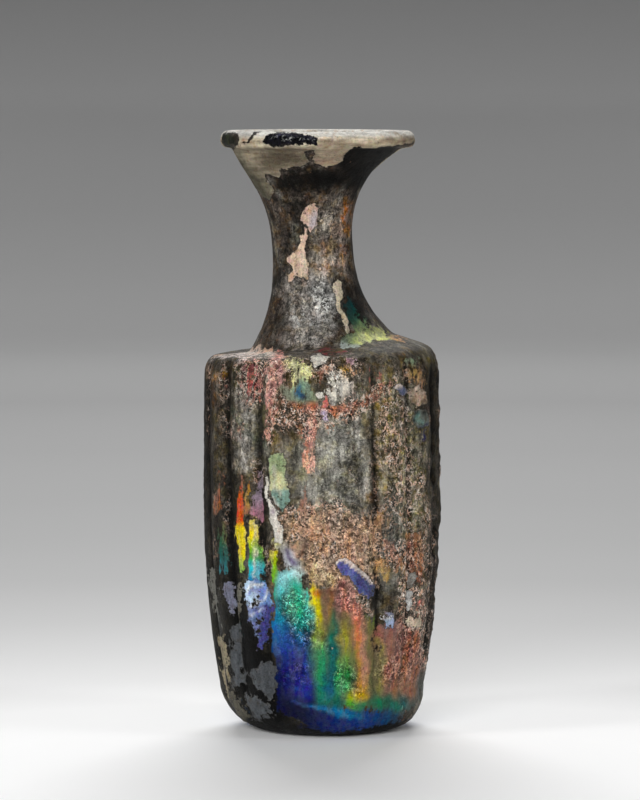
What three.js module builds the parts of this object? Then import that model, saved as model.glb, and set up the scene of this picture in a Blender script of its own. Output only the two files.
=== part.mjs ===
// A Roman glass unguentarium: a small blown bottle for scented oil, with an upright ribbed body,
// a low shoulder that sits askew, a leaning neck and a wide funnel mouth with a folded, rounded lip.
// It is one piece of glass, hollow and open at the mouth, and it stands on its flattened underside.
// Millimetres and degrees. +Z is up, -Y is the front and +X is to the right of it. The origin is at
// the level of the underside, below the middle of the body.
import * as THREE from 'three';

// The underside: a flat ring that the bottle stands on, round a shallow hollow left by the pontil rod.
// It sits a little to the right of the body's middle.
const REST_RADIUS = 13;
const REST_SHIFT = 1.2;
const PONTIL_RADIUS = 6;
const PONTIL_DEPTH = 0.8;

// The body, from the ground up: a rounded heel, the barrel and the shoulder's bend.
// Its radii are measured over the ribs.
const HEEL_HEIGHT = 10;
const HEEL_RADIUS = 22.2;
const BARREL_HEIGHT = 67.5;
const BARREL_RADIUS = 25.7;
const WIDEST_ABOVE_HEEL = 46;
const BARREL_TOP_RADIUS = 25.35;
const BEND_HEIGHT = 5;
const BEND_WIDTH = 3.1;

// The shoulder is a low cone from the bend to the foot of the neck, and its right side stands higher.
const SHOULDER_HEIGHT = 1.5;
const SHOULDER_RISE = 1.1;

// The neck: it flares down to the shoulder and up to the lip from a narrow waist. Its centre line
// leans to the left on the way up, and the funnel brings it part of the way back.
const FOOT_RADIUS = 15.6;
const FOOT_LENGTH = 21;
const FOOT_FLARE = 2.45;
const FOOT_SHIFT = -0.1;
const FOOT_RISE = 2;
const WAIST_RADIUS = 8.75;
const THROAT_LENGTH = 12;
const THROAT_SHIFT = -2.75;
const FUNNEL_LENGTH = 9.4;
const FUNNEL_RADIUS = 18.5;
const FUNNEL_FLARE = 2.4;

// The lip: a thick bead, where the edge of the glass was folded inwards and melted round.
const LIP_RADIUS = 20.95;
const LIP_HEIGHT = 3.6;
const LIP_SHIFT = -0.86;
const LIP_SQUARENESS = 0.8;

// Thicknesses of the glass. The body's is behind the bottom of its grooves.
const BODY_WALL = 2;
const NECK_WALL = 2.1;
const FLOOR_THICKNESS = 3.4;

// The ribs are parted by narrow grooves, pressed into the soft glass by a ribbed dip mould. Eight of
// them show at the front, and here is each one's azimuth at half its height, positive to the right.
// Those behind carry on at an even pitch.
const FRONT_GROOVES = [-73, -51.5, -30, -9.5, 5.5, 28.2, 48.4, 74.5];
const BACK_GROOVES = 9;
const GROOVE_DEPTH = 1.1;
const GROOVE_TWIST = 5;
const GROOVE_FOOT_HEIGHT = 5;
const GROOVE_FOOT_FADE = 8;
const GROOVE_TOP_FADE = 4;
const RIB_SQUARENESS = 0.55;
// Where a rib has its columns of vertices, as shares of its width from one groove to the next.
const RIB_COLUMNS = [0, 0.12, 0.31, 0.69, 0.88];

// How finely each stretch of the outline is cut into hoops.
const HEEL_STEPS = 4;
const BARREL_STEPS = 6;
const BEND_STEPS = 3;
const SHOULDER_STEPS = 2;
const FOOT_STEPS = 7;
const FUNNEL_STEPS = 8;
const LIP_STEPS = 6;

const barrelTop = HEEL_HEIGHT + BARREL_HEIGHT;
const bendTop = barrelTop + BEND_HEIGHT;
const neckFoot = bendTop + SHOULDER_HEIGHT;
const waist = neckFoot + FOOT_LENGTH;
const funnelFoot = waist + THROAT_LENGTH;
const funnelTop = funnelFoot + FUNNEL_LENGTH;

const mix = THREE.MathUtils.lerp;
const smooth = THREE.MathUtils.smoothstep;
const radians = THREE.MathUtils.degToRad;

// A hoop is one ring of the glass: its radius and height, how far its centre is shifted to the
// right, how far its right side is raised and its left side dropped, and the wall behind it.
function hoop(radius, height, shift = 0, rise = 0, wall = 0) {
  return { radius, height, shift, rise, wall };
}

// The whole numbers from 1 to count, as shares of count.
function steps(count) {
  return Array.from({ length: count }, (_, i) => (i + 1) / count);
}

// The underside: the pontil hollow, and the inner edge of the flat ring.
function underside() {
  return [
    hoop(0, PONTIL_DEPTH, REST_SHIFT),
    hoop(PONTIL_RADIUS / 2, PONTIL_DEPTH * 0.75, REST_SHIFT),
    hoop(PONTIL_RADIUS, 0, REST_SHIFT),
  ];
}

// The heel is a quarter of an ellipse from the flat ring out to the foot of the barrel.
function heel() {
  return [0, ...steps(HEEL_STEPS)].map((share) => {
    const turn = (share * Math.PI) / 2;
    const out = Math.sin(turn);
    return hoop(
      mix(REST_RADIUS, HEEL_RADIUS, out),
      HEEL_HEIGHT * (1 - Math.cos(turn)),
      REST_SHIFT * Math.cos(turn),
      0,
      mix(FLOOR_THICKNESS, BODY_WALL + GROOVE_DEPTH, share),
    );
  });
}

// The barrel swells from the heel to its widest hoop and draws in a little below the shoulder.
function barrel() {
  return steps(BARREL_STEPS).map((share) => {
    const height = share * BARREL_HEIGHT;
    const below = Math.max(0, 1 - height / WIDEST_ABOVE_HEEL);
    const above = Math.max(0, (height - WIDEST_ABOVE_HEEL) / (BARREL_HEIGHT - WIDEST_ABOVE_HEEL));
    const narrowing = (BARREL_RADIUS - HEEL_RADIUS) * below ** 2.35 + (BARREL_RADIUS - BARREL_TOP_RADIUS) * above ** 2;
    return hoop(BARREL_RADIUS - narrowing, HEEL_HEIGHT + height, 0, 0, BODY_WALL + GROOVE_DEPTH);
  });
}

// The shoulder turns in through a quarter of an ellipse, and then rises to the neck as a low cone.
function shoulder() {
  const coneRadius = BARREL_TOP_RADIUS - BEND_WIDTH;
  const bend = steps(BEND_STEPS).map((share) => {
    const turn = (share * Math.PI) / 2;
    return hoop(
      mix(coneRadius, BARREL_TOP_RADIUS, Math.cos(turn)),
      barrelTop + BEND_HEIGHT * Math.sin(turn),
      0,
      SHOULDER_RISE * share,
      mix(BODY_WALL + GROOVE_DEPTH, BODY_WALL, share),
    );
  });
  const cone = steps(SHOULDER_STEPS).map((share) => hoop(
    mix(coneRadius, FOOT_RADIUS, share),
    mix(bendTop, neckFoot, share),
    FOOT_SHIFT * share,
    mix(SHOULDER_RISE, FOOT_RISE, share),
    mix(BODY_WALL, NECK_WALL, share),
  ));
  return [...bend, ...cone];
}

// The neck's centre line: from the foot it leans over to the throat, fast at first.
function neckShift(height) {
  const climb = Math.min(1, (height - neckFoot) / (funnelFoot - neckFoot));
  const back = Math.max(0, (height - funnelFoot) / FUNNEL_LENGTH);
  const leaning = mix(THROAT_SHIFT, FOOT_SHIFT, (1 - climb) ** 1.3);
  return mix(leaning, LIP_SHIFT, back ** 3);
}

// Below the waist the neck's radius grows with a power of the distance from the waist, and above it too.
function neck() {
  const foot = steps(FOOT_STEPS).map((share) => {
    const below = Math.cos((share * Math.PI) / 2);
    const height = waist - FOOT_LENGTH * below;
    const radius = WAIST_RADIUS + (FOOT_RADIUS - WAIST_RADIUS) * below ** FOOT_FLARE;
    return hoop(radius, height, neckShift(height), FOOT_RISE * below ** 1.5, NECK_WALL);
  });
  const funnel = steps(FUNNEL_STEPS).map((share) => {
    const above = Math.sin((share * Math.PI) / 2);
    const height = mix(waist, funnelTop, above);
    const radius = WAIST_RADIUS + (FUNNEL_RADIUS - WAIST_RADIUS) * above ** FUNNEL_FLARE;
    return hoop(radius, height, neckShift(height), 0, NECK_WALL);
  });
  return [...foot, ...funnel];
}

// The lip's bead, from the funnel's outside over the top to its inside: a circle that is squared
// off a little, as a cosine and a sine raised to a power below 1 make it.
function lip() {
  const bead = LIP_HEIGHT / 2;
  const squared = (value) => Math.sign(value) * Math.abs(value) ** LIP_SQUARENESS;
  return [0, ...steps(LIP_STEPS)].map((share) => {
    const turn = radians(mix(-60, 190, share));
    return hoop(
      LIP_RADIUS - bead + bead * squared(Math.cos(turn)),
      funnelTop + bead + bead * squared(Math.sin(turn)),
      LIP_SHIFT,
    );
  });
}

// The inside follows every second hoop of the outside, from the mouth down, the wall's thickness
// behind it along the outline's normal.
function inside(outside) {
  const inner = [];
  for (let row = outside.length - 3; row > 0; row -= 2) {
    const before = outside[row - 1];
    const here = outside[row];
    const after = outside[row + 1];
    const along = new THREE.Vector2(after.radius - before.radius, after.height - before.height).normalize();
    inner.push(hoop(
      here.radius - along.y * here.wall,
      here.height + along.x * here.wall,
      here.shift,
      here.rise,
    ));
  }
  inner.push(hoop(0, FLOOR_THICKNESS, inner[inner.length - 1].shift));
  return inner;
}

function grooveAzimuths() {
  const last = FRONT_GROOVES[FRONT_GROOVES.length - 1];
  const first = FRONT_GROOVES[0] + 360;
  const back = Array.from({ length: BACK_GROOVES }, (_, i) => mix(last, first, (i + 1) / (BACK_GROOVES + 1)));
  return [...FRONT_GROOVES, ...back];
}

// Each column of vertices: its azimuth, and how deep in a groove it lies, from 0 on a crest to 1.
function columns() {
  const grooves = grooveAzimuths();
  return grooves.flatMap((start, i) => {
    const end = grooves[i + 1] ?? grooves[0] + 360;
    return RIB_COLUMNS.map((share) => ({
      azimuth: mix(start, end, share),
      notch: 1 - Math.sin(share * Math.PI) ** RIB_SQUARENESS,
    }));
  });
}

// How deep the grooves are at a height: they fade out above the heel and in the shoulder's bend.
function grooveDepth(height) {
  const foot = smooth(height, GROOVE_FOOT_HEIGHT, GROOVE_FOOT_HEIGHT + GROOVE_FOOT_FADE);
  const top = smooth(height, bendTop - GROOVE_TOP_FADE, bendTop);
  return GROOVE_DEPTH * foot * (1 - top);
}

// A point of a hoop. The ribs twist to the right on their way down the barrel.
function pointOn(ring, column, fluted) {
  const depth = fluted ? grooveDepth(ring.height) * column.notch : 0;
  const lean = GROOVE_TWIST * (0.5 - Math.min(1, ring.height / barrelTop));
  const azimuth = radians(column.azimuth + lean);
  const across = Math.sin(azimuth);
  const radius = ring.radius - depth;
  return new THREE.Vector3(
    ring.shift + radius * across,
    -radius * Math.cos(azimuth),
    ring.height + ring.rise * across,
  );
}

// The glass is turned as on a lathe, and then each vertex is moved to its place on its hoop.
function glass() {
  const wall = [...heel(), ...barrel(), ...shoulder(), ...neck()];
  const outside = [...underside(), ...wall];
  const rows = [...outside, ...lip(), ...inside(wall)];
  const ribs = columns();
  const geometry = new THREE.LatheGeometry(rows.map((ring) => new THREE.Vector2(ring.radius, ring.height)), ribs.length);
  const position = geometry.getAttribute('position');
  for (let column = 0; column <= ribs.length; column++) {
    rows.forEach((ring, row) => {
      const point = pointOn(ring, ribs[column % ribs.length], row < outside.length);
      position.setXYZ(column * rows.length + row, point.x, point.y, point.z);
    });
  }
  geometry.computeVertexNormals();
  return geometry;
}

const weatheredGlass = new THREE.MeshStandardMaterial({ color: 0x5a4f45, roughness: 0.45, metalness: 0.25 });

const bottle = new THREE.Mesh(glass(), weatheredGlass);
bottle.name = 'bottle';

const unguentarium = new THREE.Group();
unguentarium.add(bottle);

export default unguentarium;
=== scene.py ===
# A Roman glass unguentarium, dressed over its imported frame: a ribbed blown bottle whose glass has
# weathered into dark crust, bright rainbow skins and pale scale that flakes off in islands.
# Metres in Blender. The bottle's own sizes below are in millimetres, and it is turned to metres at the end.
import itertools

import bpy
import numpy as np
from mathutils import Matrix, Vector


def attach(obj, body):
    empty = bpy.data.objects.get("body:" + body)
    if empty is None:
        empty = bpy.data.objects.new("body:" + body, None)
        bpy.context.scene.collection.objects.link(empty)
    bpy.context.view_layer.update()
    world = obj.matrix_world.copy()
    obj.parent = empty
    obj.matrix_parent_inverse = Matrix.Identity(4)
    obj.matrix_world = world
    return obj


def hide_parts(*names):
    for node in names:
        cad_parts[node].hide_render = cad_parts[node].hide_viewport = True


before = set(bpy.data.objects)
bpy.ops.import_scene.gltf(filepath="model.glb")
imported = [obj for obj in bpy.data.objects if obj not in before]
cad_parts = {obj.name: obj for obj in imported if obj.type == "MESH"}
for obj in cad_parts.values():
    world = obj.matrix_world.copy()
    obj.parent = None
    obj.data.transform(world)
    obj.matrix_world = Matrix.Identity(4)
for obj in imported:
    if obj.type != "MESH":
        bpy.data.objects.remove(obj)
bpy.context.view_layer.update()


# The studio. A wide painted sweep, turned like a bowl so that it looks the same from every side.
# Its paint is a painted pool of light: almost white round the bottle, and greyer the further it runs back
# and up.
SWEEP_FLOOR = 1.35
SWEEP_BEND = 0.75
SWEEP_TOP = 2.6
SWEEP_SECTORS = 128
SWEEP_STEPS = 48
PAINTED_POOL_CENTRE = (0.0, -0.09, 0.0)
SWEEP_PAINTED_LIGHT = [
    (0, 0.85), (0.02, 0.93), (0.028, 0.9), (0.034, 0.77), (0.046, 0.64), (0.058, 0.53), (0.077, 0.42),
    (0.1, 0.36), (0.125, 0.32), (0.165, 0.28), (0.215, 0.26), (0.285, 0.35), (0.34, 0.5), (0.38, 0.57),
    (0.42, 0.7), (0.45, 0.53), (1, 0.48),
]


def sweep_mesh():
    """A flat disc, then a quarter circle that turns it upright, then a straight wall, carried round the
    vertical axis. The first row is one point in the middle."""
    share = np.linspace(0, 1, SWEEP_STEPS)
    turn = share * np.pi / 2
    radius = np.concatenate([
        share[1:] * SWEEP_FLOOR,
        SWEEP_FLOOR + SWEEP_BEND * np.sin(turn[1:]),
        np.full(SWEEP_STEPS - 1, SWEEP_FLOOR + SWEEP_BEND),
    ])
    height = np.concatenate([
        np.zeros(SWEEP_STEPS - 1),
        SWEEP_BEND * (1 - np.cos(turn[1:])),
        SWEEP_BEND + share[1:] * (SWEEP_TOP - SWEEP_BEND),
    ])
    around = np.linspace(0, 2 * np.pi, SWEEP_SECTORS, endpoint=False)
    rings = np.stack([
        radius[:, None] * np.cos(around),
        radius[:, None] * np.sin(around),
        np.repeat(height[:, None], SWEEP_SECTORS, axis=1),
    ], axis=-1).reshape(-1, 3)
    points = np.vstack([[[0, 0, 0]], rings])
    row, column = np.mgrid[0:len(radius) - 1, 0:SWEEP_SECTORS]
    beside = (column + 1) % SWEEP_SECTORS
    corner = 1 + row * SWEEP_SECTORS
    quads = np.stack([corner + column, corner + SWEEP_SECTORS + column, corner + SWEEP_SECTORS + beside,
                      corner + beside], axis=-1).reshape(-1, 4)
    middle = np.arange(SWEEP_SECTORS)
    fan = np.stack([np.zeros_like(middle), 1 + middle, 1 + (middle + 1) % SWEEP_SECTORS], axis=-1)
    mesh = bpy.data.meshes.new("studio_sweep")
    mesh.from_pydata(points.tolist(), [], fan.tolist() + quads.tolist())
    mesh.shade_smooth()
    return mesh


class Strand:
    """One output socket of a material's nodes. Arithmetic on strands adds Math nodes, and node() adds
    any other."""

    def __init__(self, tree, socket=None):
        self.tree = tree
        self.socket = socket

    def node(self, kind, settings=None, inputs=None, output=0):
        """Adds a node of that type, makes its settings, and then fills its sockets with values or
        strands."""
        made = self.tree.nodes.new("ShaderNode" + kind)
        for name, setting in (settings or {}).items():
            if name == "stops":
                ramp = made.color_ramp
                while len(ramp.elements) < len(setting):
                    ramp.elements.new(0.5)
                for element, (place, colour) in zip(ramp.elements, setting):
                    element.position = place
                    element.color = (*colour, 1)
            else:
                setattr(made, name, setting)
        for name, value in (inputs or {}).items():
            if isinstance(value, Strand):
                self.tree.links.new(value.socket, made.inputs[name])
            else:
                made.inputs[name].default_value = value
        return Strand(self.tree, made.outputs[output])

    def beside(self, output):
        """Another output of the same node."""
        return Strand(self.tree, self.socket.node.outputs[output])

    def maths(self, operation, first, second=0.0):
        return self.node("Math", {"operation": operation}, {0: first, 1: second})

    def __add__(self, other):
        return self.maths("ADD", self, other)

    def __radd__(self, other):
        return self.maths("ADD", other, self)

    def __sub__(self, other):
        return self.maths("SUBTRACT", self, other)

    def __rsub__(self, other):
        return self.maths("SUBTRACT", other, self)

    def __mul__(self, other):
        return self.maths("MULTIPLY", self, other)

    def __rmul__(self, other):
        return self.maths("MULTIPLY", other, self)

    def __truediv__(self, other):
        return self.maths("DIVIDE", self, other)

    def __pow__(self, other):
        return self.maths("POWER", self, other)

    def __abs__(self):
        return self.maths("ABSOLUTE", self)

    def rise(self, low, high):
        """0 below low, 1 above high, and a smooth step between."""
        limits = {0: self, 1: low, 2: high, 3: 0.0, 4: 1.0}
        return self.node("MapRange", {"interpolation_type": "SMOOTHSTEP"}, limits)

    def over(self, below, above, mode="MIX"):
        """The colour below, covered by the colour above where this strand is 1."""
        return self.node("Mix", {"data_type": "RGBA", "blend_type": mode}, {0: self, 6: below, 7: above}, 2)

    def vector(self, operation, inputs=None, output=0):
        """Vector arithmetic, with this strand as the first vector."""
        return self.node("VectorMath", {"operation": operation}, {0: self, **(inputs or {})}, output)

    def scaled(self, factor):
        """A vector or colour times a number."""
        return self.vector("SCALE", {3: factor})


def new_material(name):
    """An empty material, its principled shader, and a strand to draw its nodes from."""
    material = bpy.data.materials.new(name)
    material.use_nodes = True
    tree = material.node_tree
    return material, tree.nodes["Principled BSDF"], Strand(tree)


def connect(shader, inputs):
    for name, value in inputs.items():
        if isinstance(value, Strand):
            value.tree.links.new(value.socket, shader.inputs[name])
        else:
            shader.inputs[name].default_value = value


# The sweep's paint is painted light: bright round the bottle, falling off to grey further back and up.
def sweep_painted_falloff():
    material, shader, start = new_material("sweep_painted_falloff")
    place = start.node("TexCoord", output=3)
    flat = place.vector("SUBTRACT", {1: PAINTED_POOL_CENTRE}).vector("MULTIPLY", {1: (1, 1, 0)})
    run = flat.vector("LENGTH", output=1)
    height = place.node("SeparateXYZ", None, {0: place}, 2)
    along = (run + height) / (SWEEP_FLOOR + SWEEP_BEND + SWEEP_TOP)
    ramp = along.node("ValToRGB", {"stops": [(at, (grey,) * 3) for at, grey in SWEEP_PAINTED_LIGHT]}, {0: along})
    connect(shader, {"Base Color": ramp, "Roughness": 0.85, "Specular IOR Level": 0.1})
    return material


sweep = bpy.data.objects.new("studio_sweep", sweep_mesh())
bpy.context.scene.collection.objects.link(sweep)
sweep.data.materials.append(sweep_painted_falloff())


def softbox(name, place, aim, width, height, watts):
    lamp = bpy.data.lights.new(name, "AREA")
    lamp.shape = "RECTANGLE"
    lamp.size = width
    lamp.size_y = height
    lamp.energy = watts
    box = bpy.data.objects.new(name, lamp)
    box.location = place
    box.rotation_euler = (Vector(aim) - Vector(place)).to_track_quat("-Z", "Y").to_euler()
    bpy.context.scene.collection.objects.link(box)


MIDDLE = (0, 0, 0.07)
softbox("overhead_softbox", (0, 1.0, 0.95), MIDDLE, 0.9, 0.5, 15)
softbox("left_strip", (-0.95, -0.45, 0.4), MIDDLE, 0.2, 1.0, 4)
softbox("right_strip", (0.95, -0.35, 0.4), MIDDLE, 0.2, 1.0, 2.5)
softbox("front_fill", (-0.25, -1.15, 0.5), MIDDLE, 0.7, 0.5, 9.5)

world = bpy.data.worlds.new("studio_air")
world.use_nodes = True
connect(world.node_tree.nodes["Background"], {"Color": (1, 1, 1, 1), "Strength": 0.2})
bpy.context.scene.world = world
bpy.context.scene.view_settings.view_transform = "Standard"

EYE = Vector((-0.00033, -0.95, 0.145))
LOOK_AT = Vector((-0.00033, 0, 0.0715))
LENS = 197.2
camera_data = bpy.data.cameras.new("camera")
camera_data.lens = LENS
camera_data.clip_start = 0.05
camera = bpy.data.objects.new("camera", camera_data)
camera.location = EYE
camera.rotation_euler = (LOOK_AT - EYE).to_track_quat("-Z", "Y").to_euler()
bpy.context.scene.collection.objects.link(camera)
bpy.context.scene.camera = camera


# The bottle. One gather of glass, blown into a ribbed dip mould, then drawn out and tooled at the
# neck, with the edge of its mouth folded in and melted round. Lengths in millimetres, angles in degrees.
PONTIL_RADIUS = 6
PONTIL_DEPTH = 0.8
REST_RADIUS = 13
REST_SHIFT = 1.2
HEEL_HEIGHT = 10
HEEL_RADIUS = 22.2
BARREL_HEIGHT = 67.5
BARREL_RADIUS = 25.7
WIDEST_ABOVE_HEEL = 46
BARREL_SWELL = 2.35
BARREL_TOP_RADIUS = 25.35
BEND_HEIGHT = 5
BEND_WIDTH = 3.1
SHOULDER_HEIGHT = 1.5
SHOULDER_RISE = 1.1
FOOT_RADIUS = 15.6
FOOT_LENGTH = 21
FOOT_FLARE = 2.45
FOOT_SHIFT = -0.1
FOOT_RISE = 2
WAIST_RADIUS = 8.75
THROAT_LENGTH = 12
THROAT_SHIFT = -2.75
FUNNEL_LENGTH = 9.4
FUNNEL_RADIUS = 18.5
FUNNEL_FLARE = 2.4
LIP_RADIUS = 20.95
LIP_HEIGHT = 3.6
LIP_SHIFT = -0.86
LIP_SQUARENESS = 0.8
LIP_START = -60
LIP_END = 190
BODY_WALL = 3.1
NECK_WALL = 2.1
FLOOR_THICKNESS = 3.4
INSIDE_TOP_GAP = 0.8
CORNER_SOFTENING = 1.1
INSIDE_SOFTENING = 0.8

BARREL_TOP = HEEL_HEIGHT + BARREL_HEIGHT
BEND_TOP = BARREL_TOP + BEND_HEIGHT
NECK_FOOT = BEND_TOP + SHOULDER_HEIGHT
WAIST = NECK_FOOT + FOOT_LENGTH
FUNNEL_FOOT = WAIST + THROAT_LENGTH
FUNNEL_TOP = FUNNEL_FOOT + FUNNEL_LENGTH

COLUMNS = 288
FRONT_CROWDING = 0.45
UNDERSIDE_ROWS = 9
OUTSIDE_ROWS = 292
INSIDE_ROWS = 42
WALL_SAMPLES = 1500
STANDING_ROWS = 2


def mix(low, high, share):
    return low + (high - low) * share


def ramped(value, low, high):
    """0 at low, 1 at high, and a smooth step between."""
    share = np.clip((value - low) / (high - low), 0, 1)
    return share * share * (3 - 2 * share)


def neck_shift(height):
    """The neck's centre line: fast at first from its foot over to the throat, then back as a cube to
    the lip."""
    climb = np.clip((height - NECK_FOOT) / (FUNNEL_FOOT - NECK_FOOT), 0, 1)
    back = np.clip((height - FUNNEL_FOOT) / FUNNEL_LENGTH, 0, 1)
    leaning = mix(THROAT_SHIFT, FOOT_SHIFT, (1 - climb) ** 1.3)
    return mix(leaning, LIP_SHIFT, back ** 3)


def hoops(radius, height, shift=0.0, rise=0.0, wall=0.0):
    """Rows of radius, height, shift of the centre to the right, rise of the right side, and wall."""
    return np.stack(np.broadcast_arrays(radius, height, shift, rise, wall), axis=-1).astype(float)


def outline():
    """The outside, from the middle of the underside to the funnel's top, and the lip after it. The heel and
    the shoulder's bend are quarters of ellipses, the barrel narrows with powers of the distance from its
    widest hoop, the neck's two flares are powers of the distance from the waist, and the lip is a circle
    squared off by a power of its sine and cosine."""
    share = np.linspace(0, 1, 400)
    turn = share * np.pi / 2
    across, up = np.sin(turn), np.cos(turn)
    hollow = hoops(PONTIL_RADIUS * share, PONTIL_DEPTH * (1 - share ** 2), REST_SHIFT)
    ring = hoops(mix(PONTIL_RADIUS, REST_RADIUS, share), 0.0, REST_SHIFT)
    heel = hoops(mix(REST_RADIUS, HEEL_RADIUS, across), HEEL_HEIGHT * (1 - up), REST_SHIFT * up, 0.0,
                 mix(FLOOR_THICKNESS, BODY_WALL, share))
    height = share * BARREL_HEIGHT
    below = np.clip(1 - height / WIDEST_ABOVE_HEEL, 0, 1) ** BARREL_SWELL
    above = np.clip((height - WIDEST_ABOVE_HEEL) / (BARREL_HEIGHT - WIDEST_ABOVE_HEEL), 0, 1) ** 2
    narrowing = (BARREL_RADIUS - HEEL_RADIUS) * below + (BARREL_RADIUS - BARREL_TOP_RADIUS) * above
    barrel = hoops(BARREL_RADIUS - narrowing, HEEL_HEIGHT + height, wall=BODY_WALL)
    cone_radius = BARREL_TOP_RADIUS - BEND_WIDTH
    bend = hoops(mix(cone_radius, BARREL_TOP_RADIUS, up), BARREL_TOP + BEND_HEIGHT * across, 0.0,
                 SHOULDER_RISE * share, mix(BODY_WALL, NECK_WALL, share))
    cone = hoops(mix(cone_radius, FOOT_RADIUS, share), mix(BEND_TOP, NECK_FOOT, share), FOOT_SHIFT * share,
                 mix(SHOULDER_RISE, FOOT_RISE, share), NECK_WALL)
    height = WAIST - FOOT_LENGTH * up
    foot = hoops(WAIST_RADIUS + (FOOT_RADIUS - WAIST_RADIUS) * up ** FOOT_FLARE, height, neck_shift(height),
                 FOOT_RISE * up ** 1.5, NECK_WALL)
    height = mix(WAIST, FUNNEL_TOP, across)
    funnel = hoops(WAIST_RADIUS + (FUNNEL_RADIUS - WAIST_RADIUS) * across ** FUNNEL_FLARE, height,
                   neck_shift(height), 0.0, NECK_WALL)
    bead = LIP_HEIGHT / 2
    turn = np.radians(mix(LIP_START, LIP_END, share))
    out = np.sign(np.cos(turn)) * np.abs(np.cos(turn)) ** LIP_SQUARENESS
    over = np.sign(np.sin(turn)) * np.abs(np.sin(turn)) ** LIP_SQUARENESS
    lip = hoops(LIP_RADIUS - bead + bead * out, FUNNEL_TOP + bead + bead * over, LIP_SHIFT)
    return [hollow, ring], [heel, barrel, bend, cone, foot, funnel], lip


def spread(rows, count, softening=0):
    """The rows again, count of them at even steps along the outline, with its corners softened."""
    rows = rows[np.concatenate([[True], np.any(np.diff(rows[:, :2], axis=0) != 0, axis=1)])]
    length = np.concatenate([[0], np.cumsum(np.hypot(*np.diff(rows[:, :2], axis=0).T))])
    fine = np.linspace(0, length[-1], 4000)
    smooth_rows = np.stack([np.interp(fine, length, column) for column in rows.T], axis=-1)
    if softening:
        reach = int(round(softening / fine[1]))
        weight = np.hanning(2 * reach + 1)[1:-1]
        weight /= weight.sum()
        padded = np.pad(smooth_rows, ((reach - 1, reach - 1), (0, 0)), mode="reflect", reflect_type="odd")
        smooth_rows = np.stack([np.convolve(column, weight, "valid") for column in padded.T], axis=-1)
    at = np.linspace(0, length[-1], count)
    return np.stack([np.interp(at, fine, column) for column in smooth_rows.T], axis=-1)


def outward(rows):
    """The outline's outward normal at each row, as its share across and its share up."""
    along = np.gradient(rows[:, :2], axis=0)
    along /= np.maximum(np.hypot(*along.T), 1e-9)[:, None]
    return np.stack([along[:, 1], -along[:, 0]], axis=-1)


underside, wall, lip = outline()
flat_rows = spread(np.vstack(underside), UNDERSIDE_ROWS + 1)[:-1]
wall_rows = np.vstack(wall + [lip])
outside_rows = spread(wall_rows, OUTSIDE_ROWS, softening=CORNER_SOFTENING)
dense_wall = spread(np.vstack(wall), WALL_SAMPLES, softening=CORNER_SOFTENING)
inward = outward(dense_wall)
inside_outline = dense_wall.copy()
inside_outline[:, :2] -= inward * dense_wall[:, 4:5]
inside_outline = inside_outline[inside_outline[:, 1] < FUNNEL_TOP - INSIDE_TOP_GAP][::-1]
last = inside_outline[-1].copy()
last[0] = 0
last[1] = FLOOR_THICKNESS
inside_outline[:, 1] = np.maximum(inside_outline[:, 1], FLOOR_THICKNESS)
inside_outline = np.vstack([outside_rows[-1:], inside_outline, last[None]])
inside_rows = spread(inside_outline, INSIDE_ROWS + 1, softening=INSIDE_SOFTENING)[1:]
inside_rows[-1, 0] = 0
flat_rows[0, 0] = 0
rows = np.vstack([flat_rows, outside_rows, inside_rows])
first_inside = len(flat_rows) + len(outside_rows)
is_outside = np.arange(len(rows)) < first_inside
is_dressed = np.arange(len(rows)) >= len(flat_rows) + STANDING_ROWS
normal_rows = outward(rows)

turn = np.arange(COLUMNS) / COLUMNS * 2 * np.pi
azimuth = turn - FRONT_CROWDING * np.sin(turn)
AZ, ROW = np.meshgrid(azimuth, np.arange(len(rows)))
RADIUS, HEIGHT, SHIFT, RISE = (rows[ROW, part] for part in range(4))


def stand(radius, height):
    """Points of the bottle: a hoop's centre shifted to the right, and its right side raised."""
    right = np.sin(AZ)
    return np.stack([SHIFT + radius * right, -radius * np.cos(AZ), height + RISE * right], axis=-1)


smooth_points = stand(RADIUS, HEIGHT)

NOISE_TABLE = 32


def lumps(points, size, seed):
    """Smooth random relief between -1 and 1: random values at the corners of cubes of that size, in
    millimetres, blended across each cube with a smooth step. The size may be one for each of x, y, z."""
    table = np.random.default_rng(seed).uniform(-1, 1, (NOISE_TABLE,) * 3)
    cell = points / np.array(size) + 50.5
    base = np.floor(cell).astype(int)
    share = cell - base
    share = share * share * (3 - 2 * share)
    total = 0
    for corner in itertools.product((0, 1), repeat=3):
        index = (base + corner) % NOISE_TABLE
        weight = np.prod(np.where(corner, share, 1 - share), axis=-1)
        total = total + weight * table[index[..., 0], index[..., 1], index[..., 2]]
    return total


def crumpled(points, size, seed, octaves=3):
    """Lumps on lumps, each layer half the size and half the height of the one before."""
    layers = [lumps(points, np.array(size) / 2 ** i, seed + i) / 2 ** i for i in range(octaves)]
    return sum(layers) / (2 - 2 ** (1 - octaves))


# The ribs: rounded bands between narrow grooves. Eight grooves show at the front, and the first number of
# each is its azimuth at half its height, positive to the right, and the second how deep it was pressed.
FRONT_GROOVES = [
    (-73, 1), (-51.5, 1.15), (-30, 1.1), (-9.5, 0.35), (5.5, 0.3), (28.2, 0.9), (48.4, 0.95), (74.5, 1),
]
BACK_GROOVES = 9
BACK_GROOVE_DEPTH = 0.95
GROOVE_DEPTH = 1.1
GROOVE_TWIST = 5
GROOVE_FOOT_HEIGHT = 5
GROOVE_FOOT_FADE = 8
GROOVE_TOP_FADE = 4
RIB_SQUARENESS = 0.55
GROOVE_WANDER = 1.3


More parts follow.
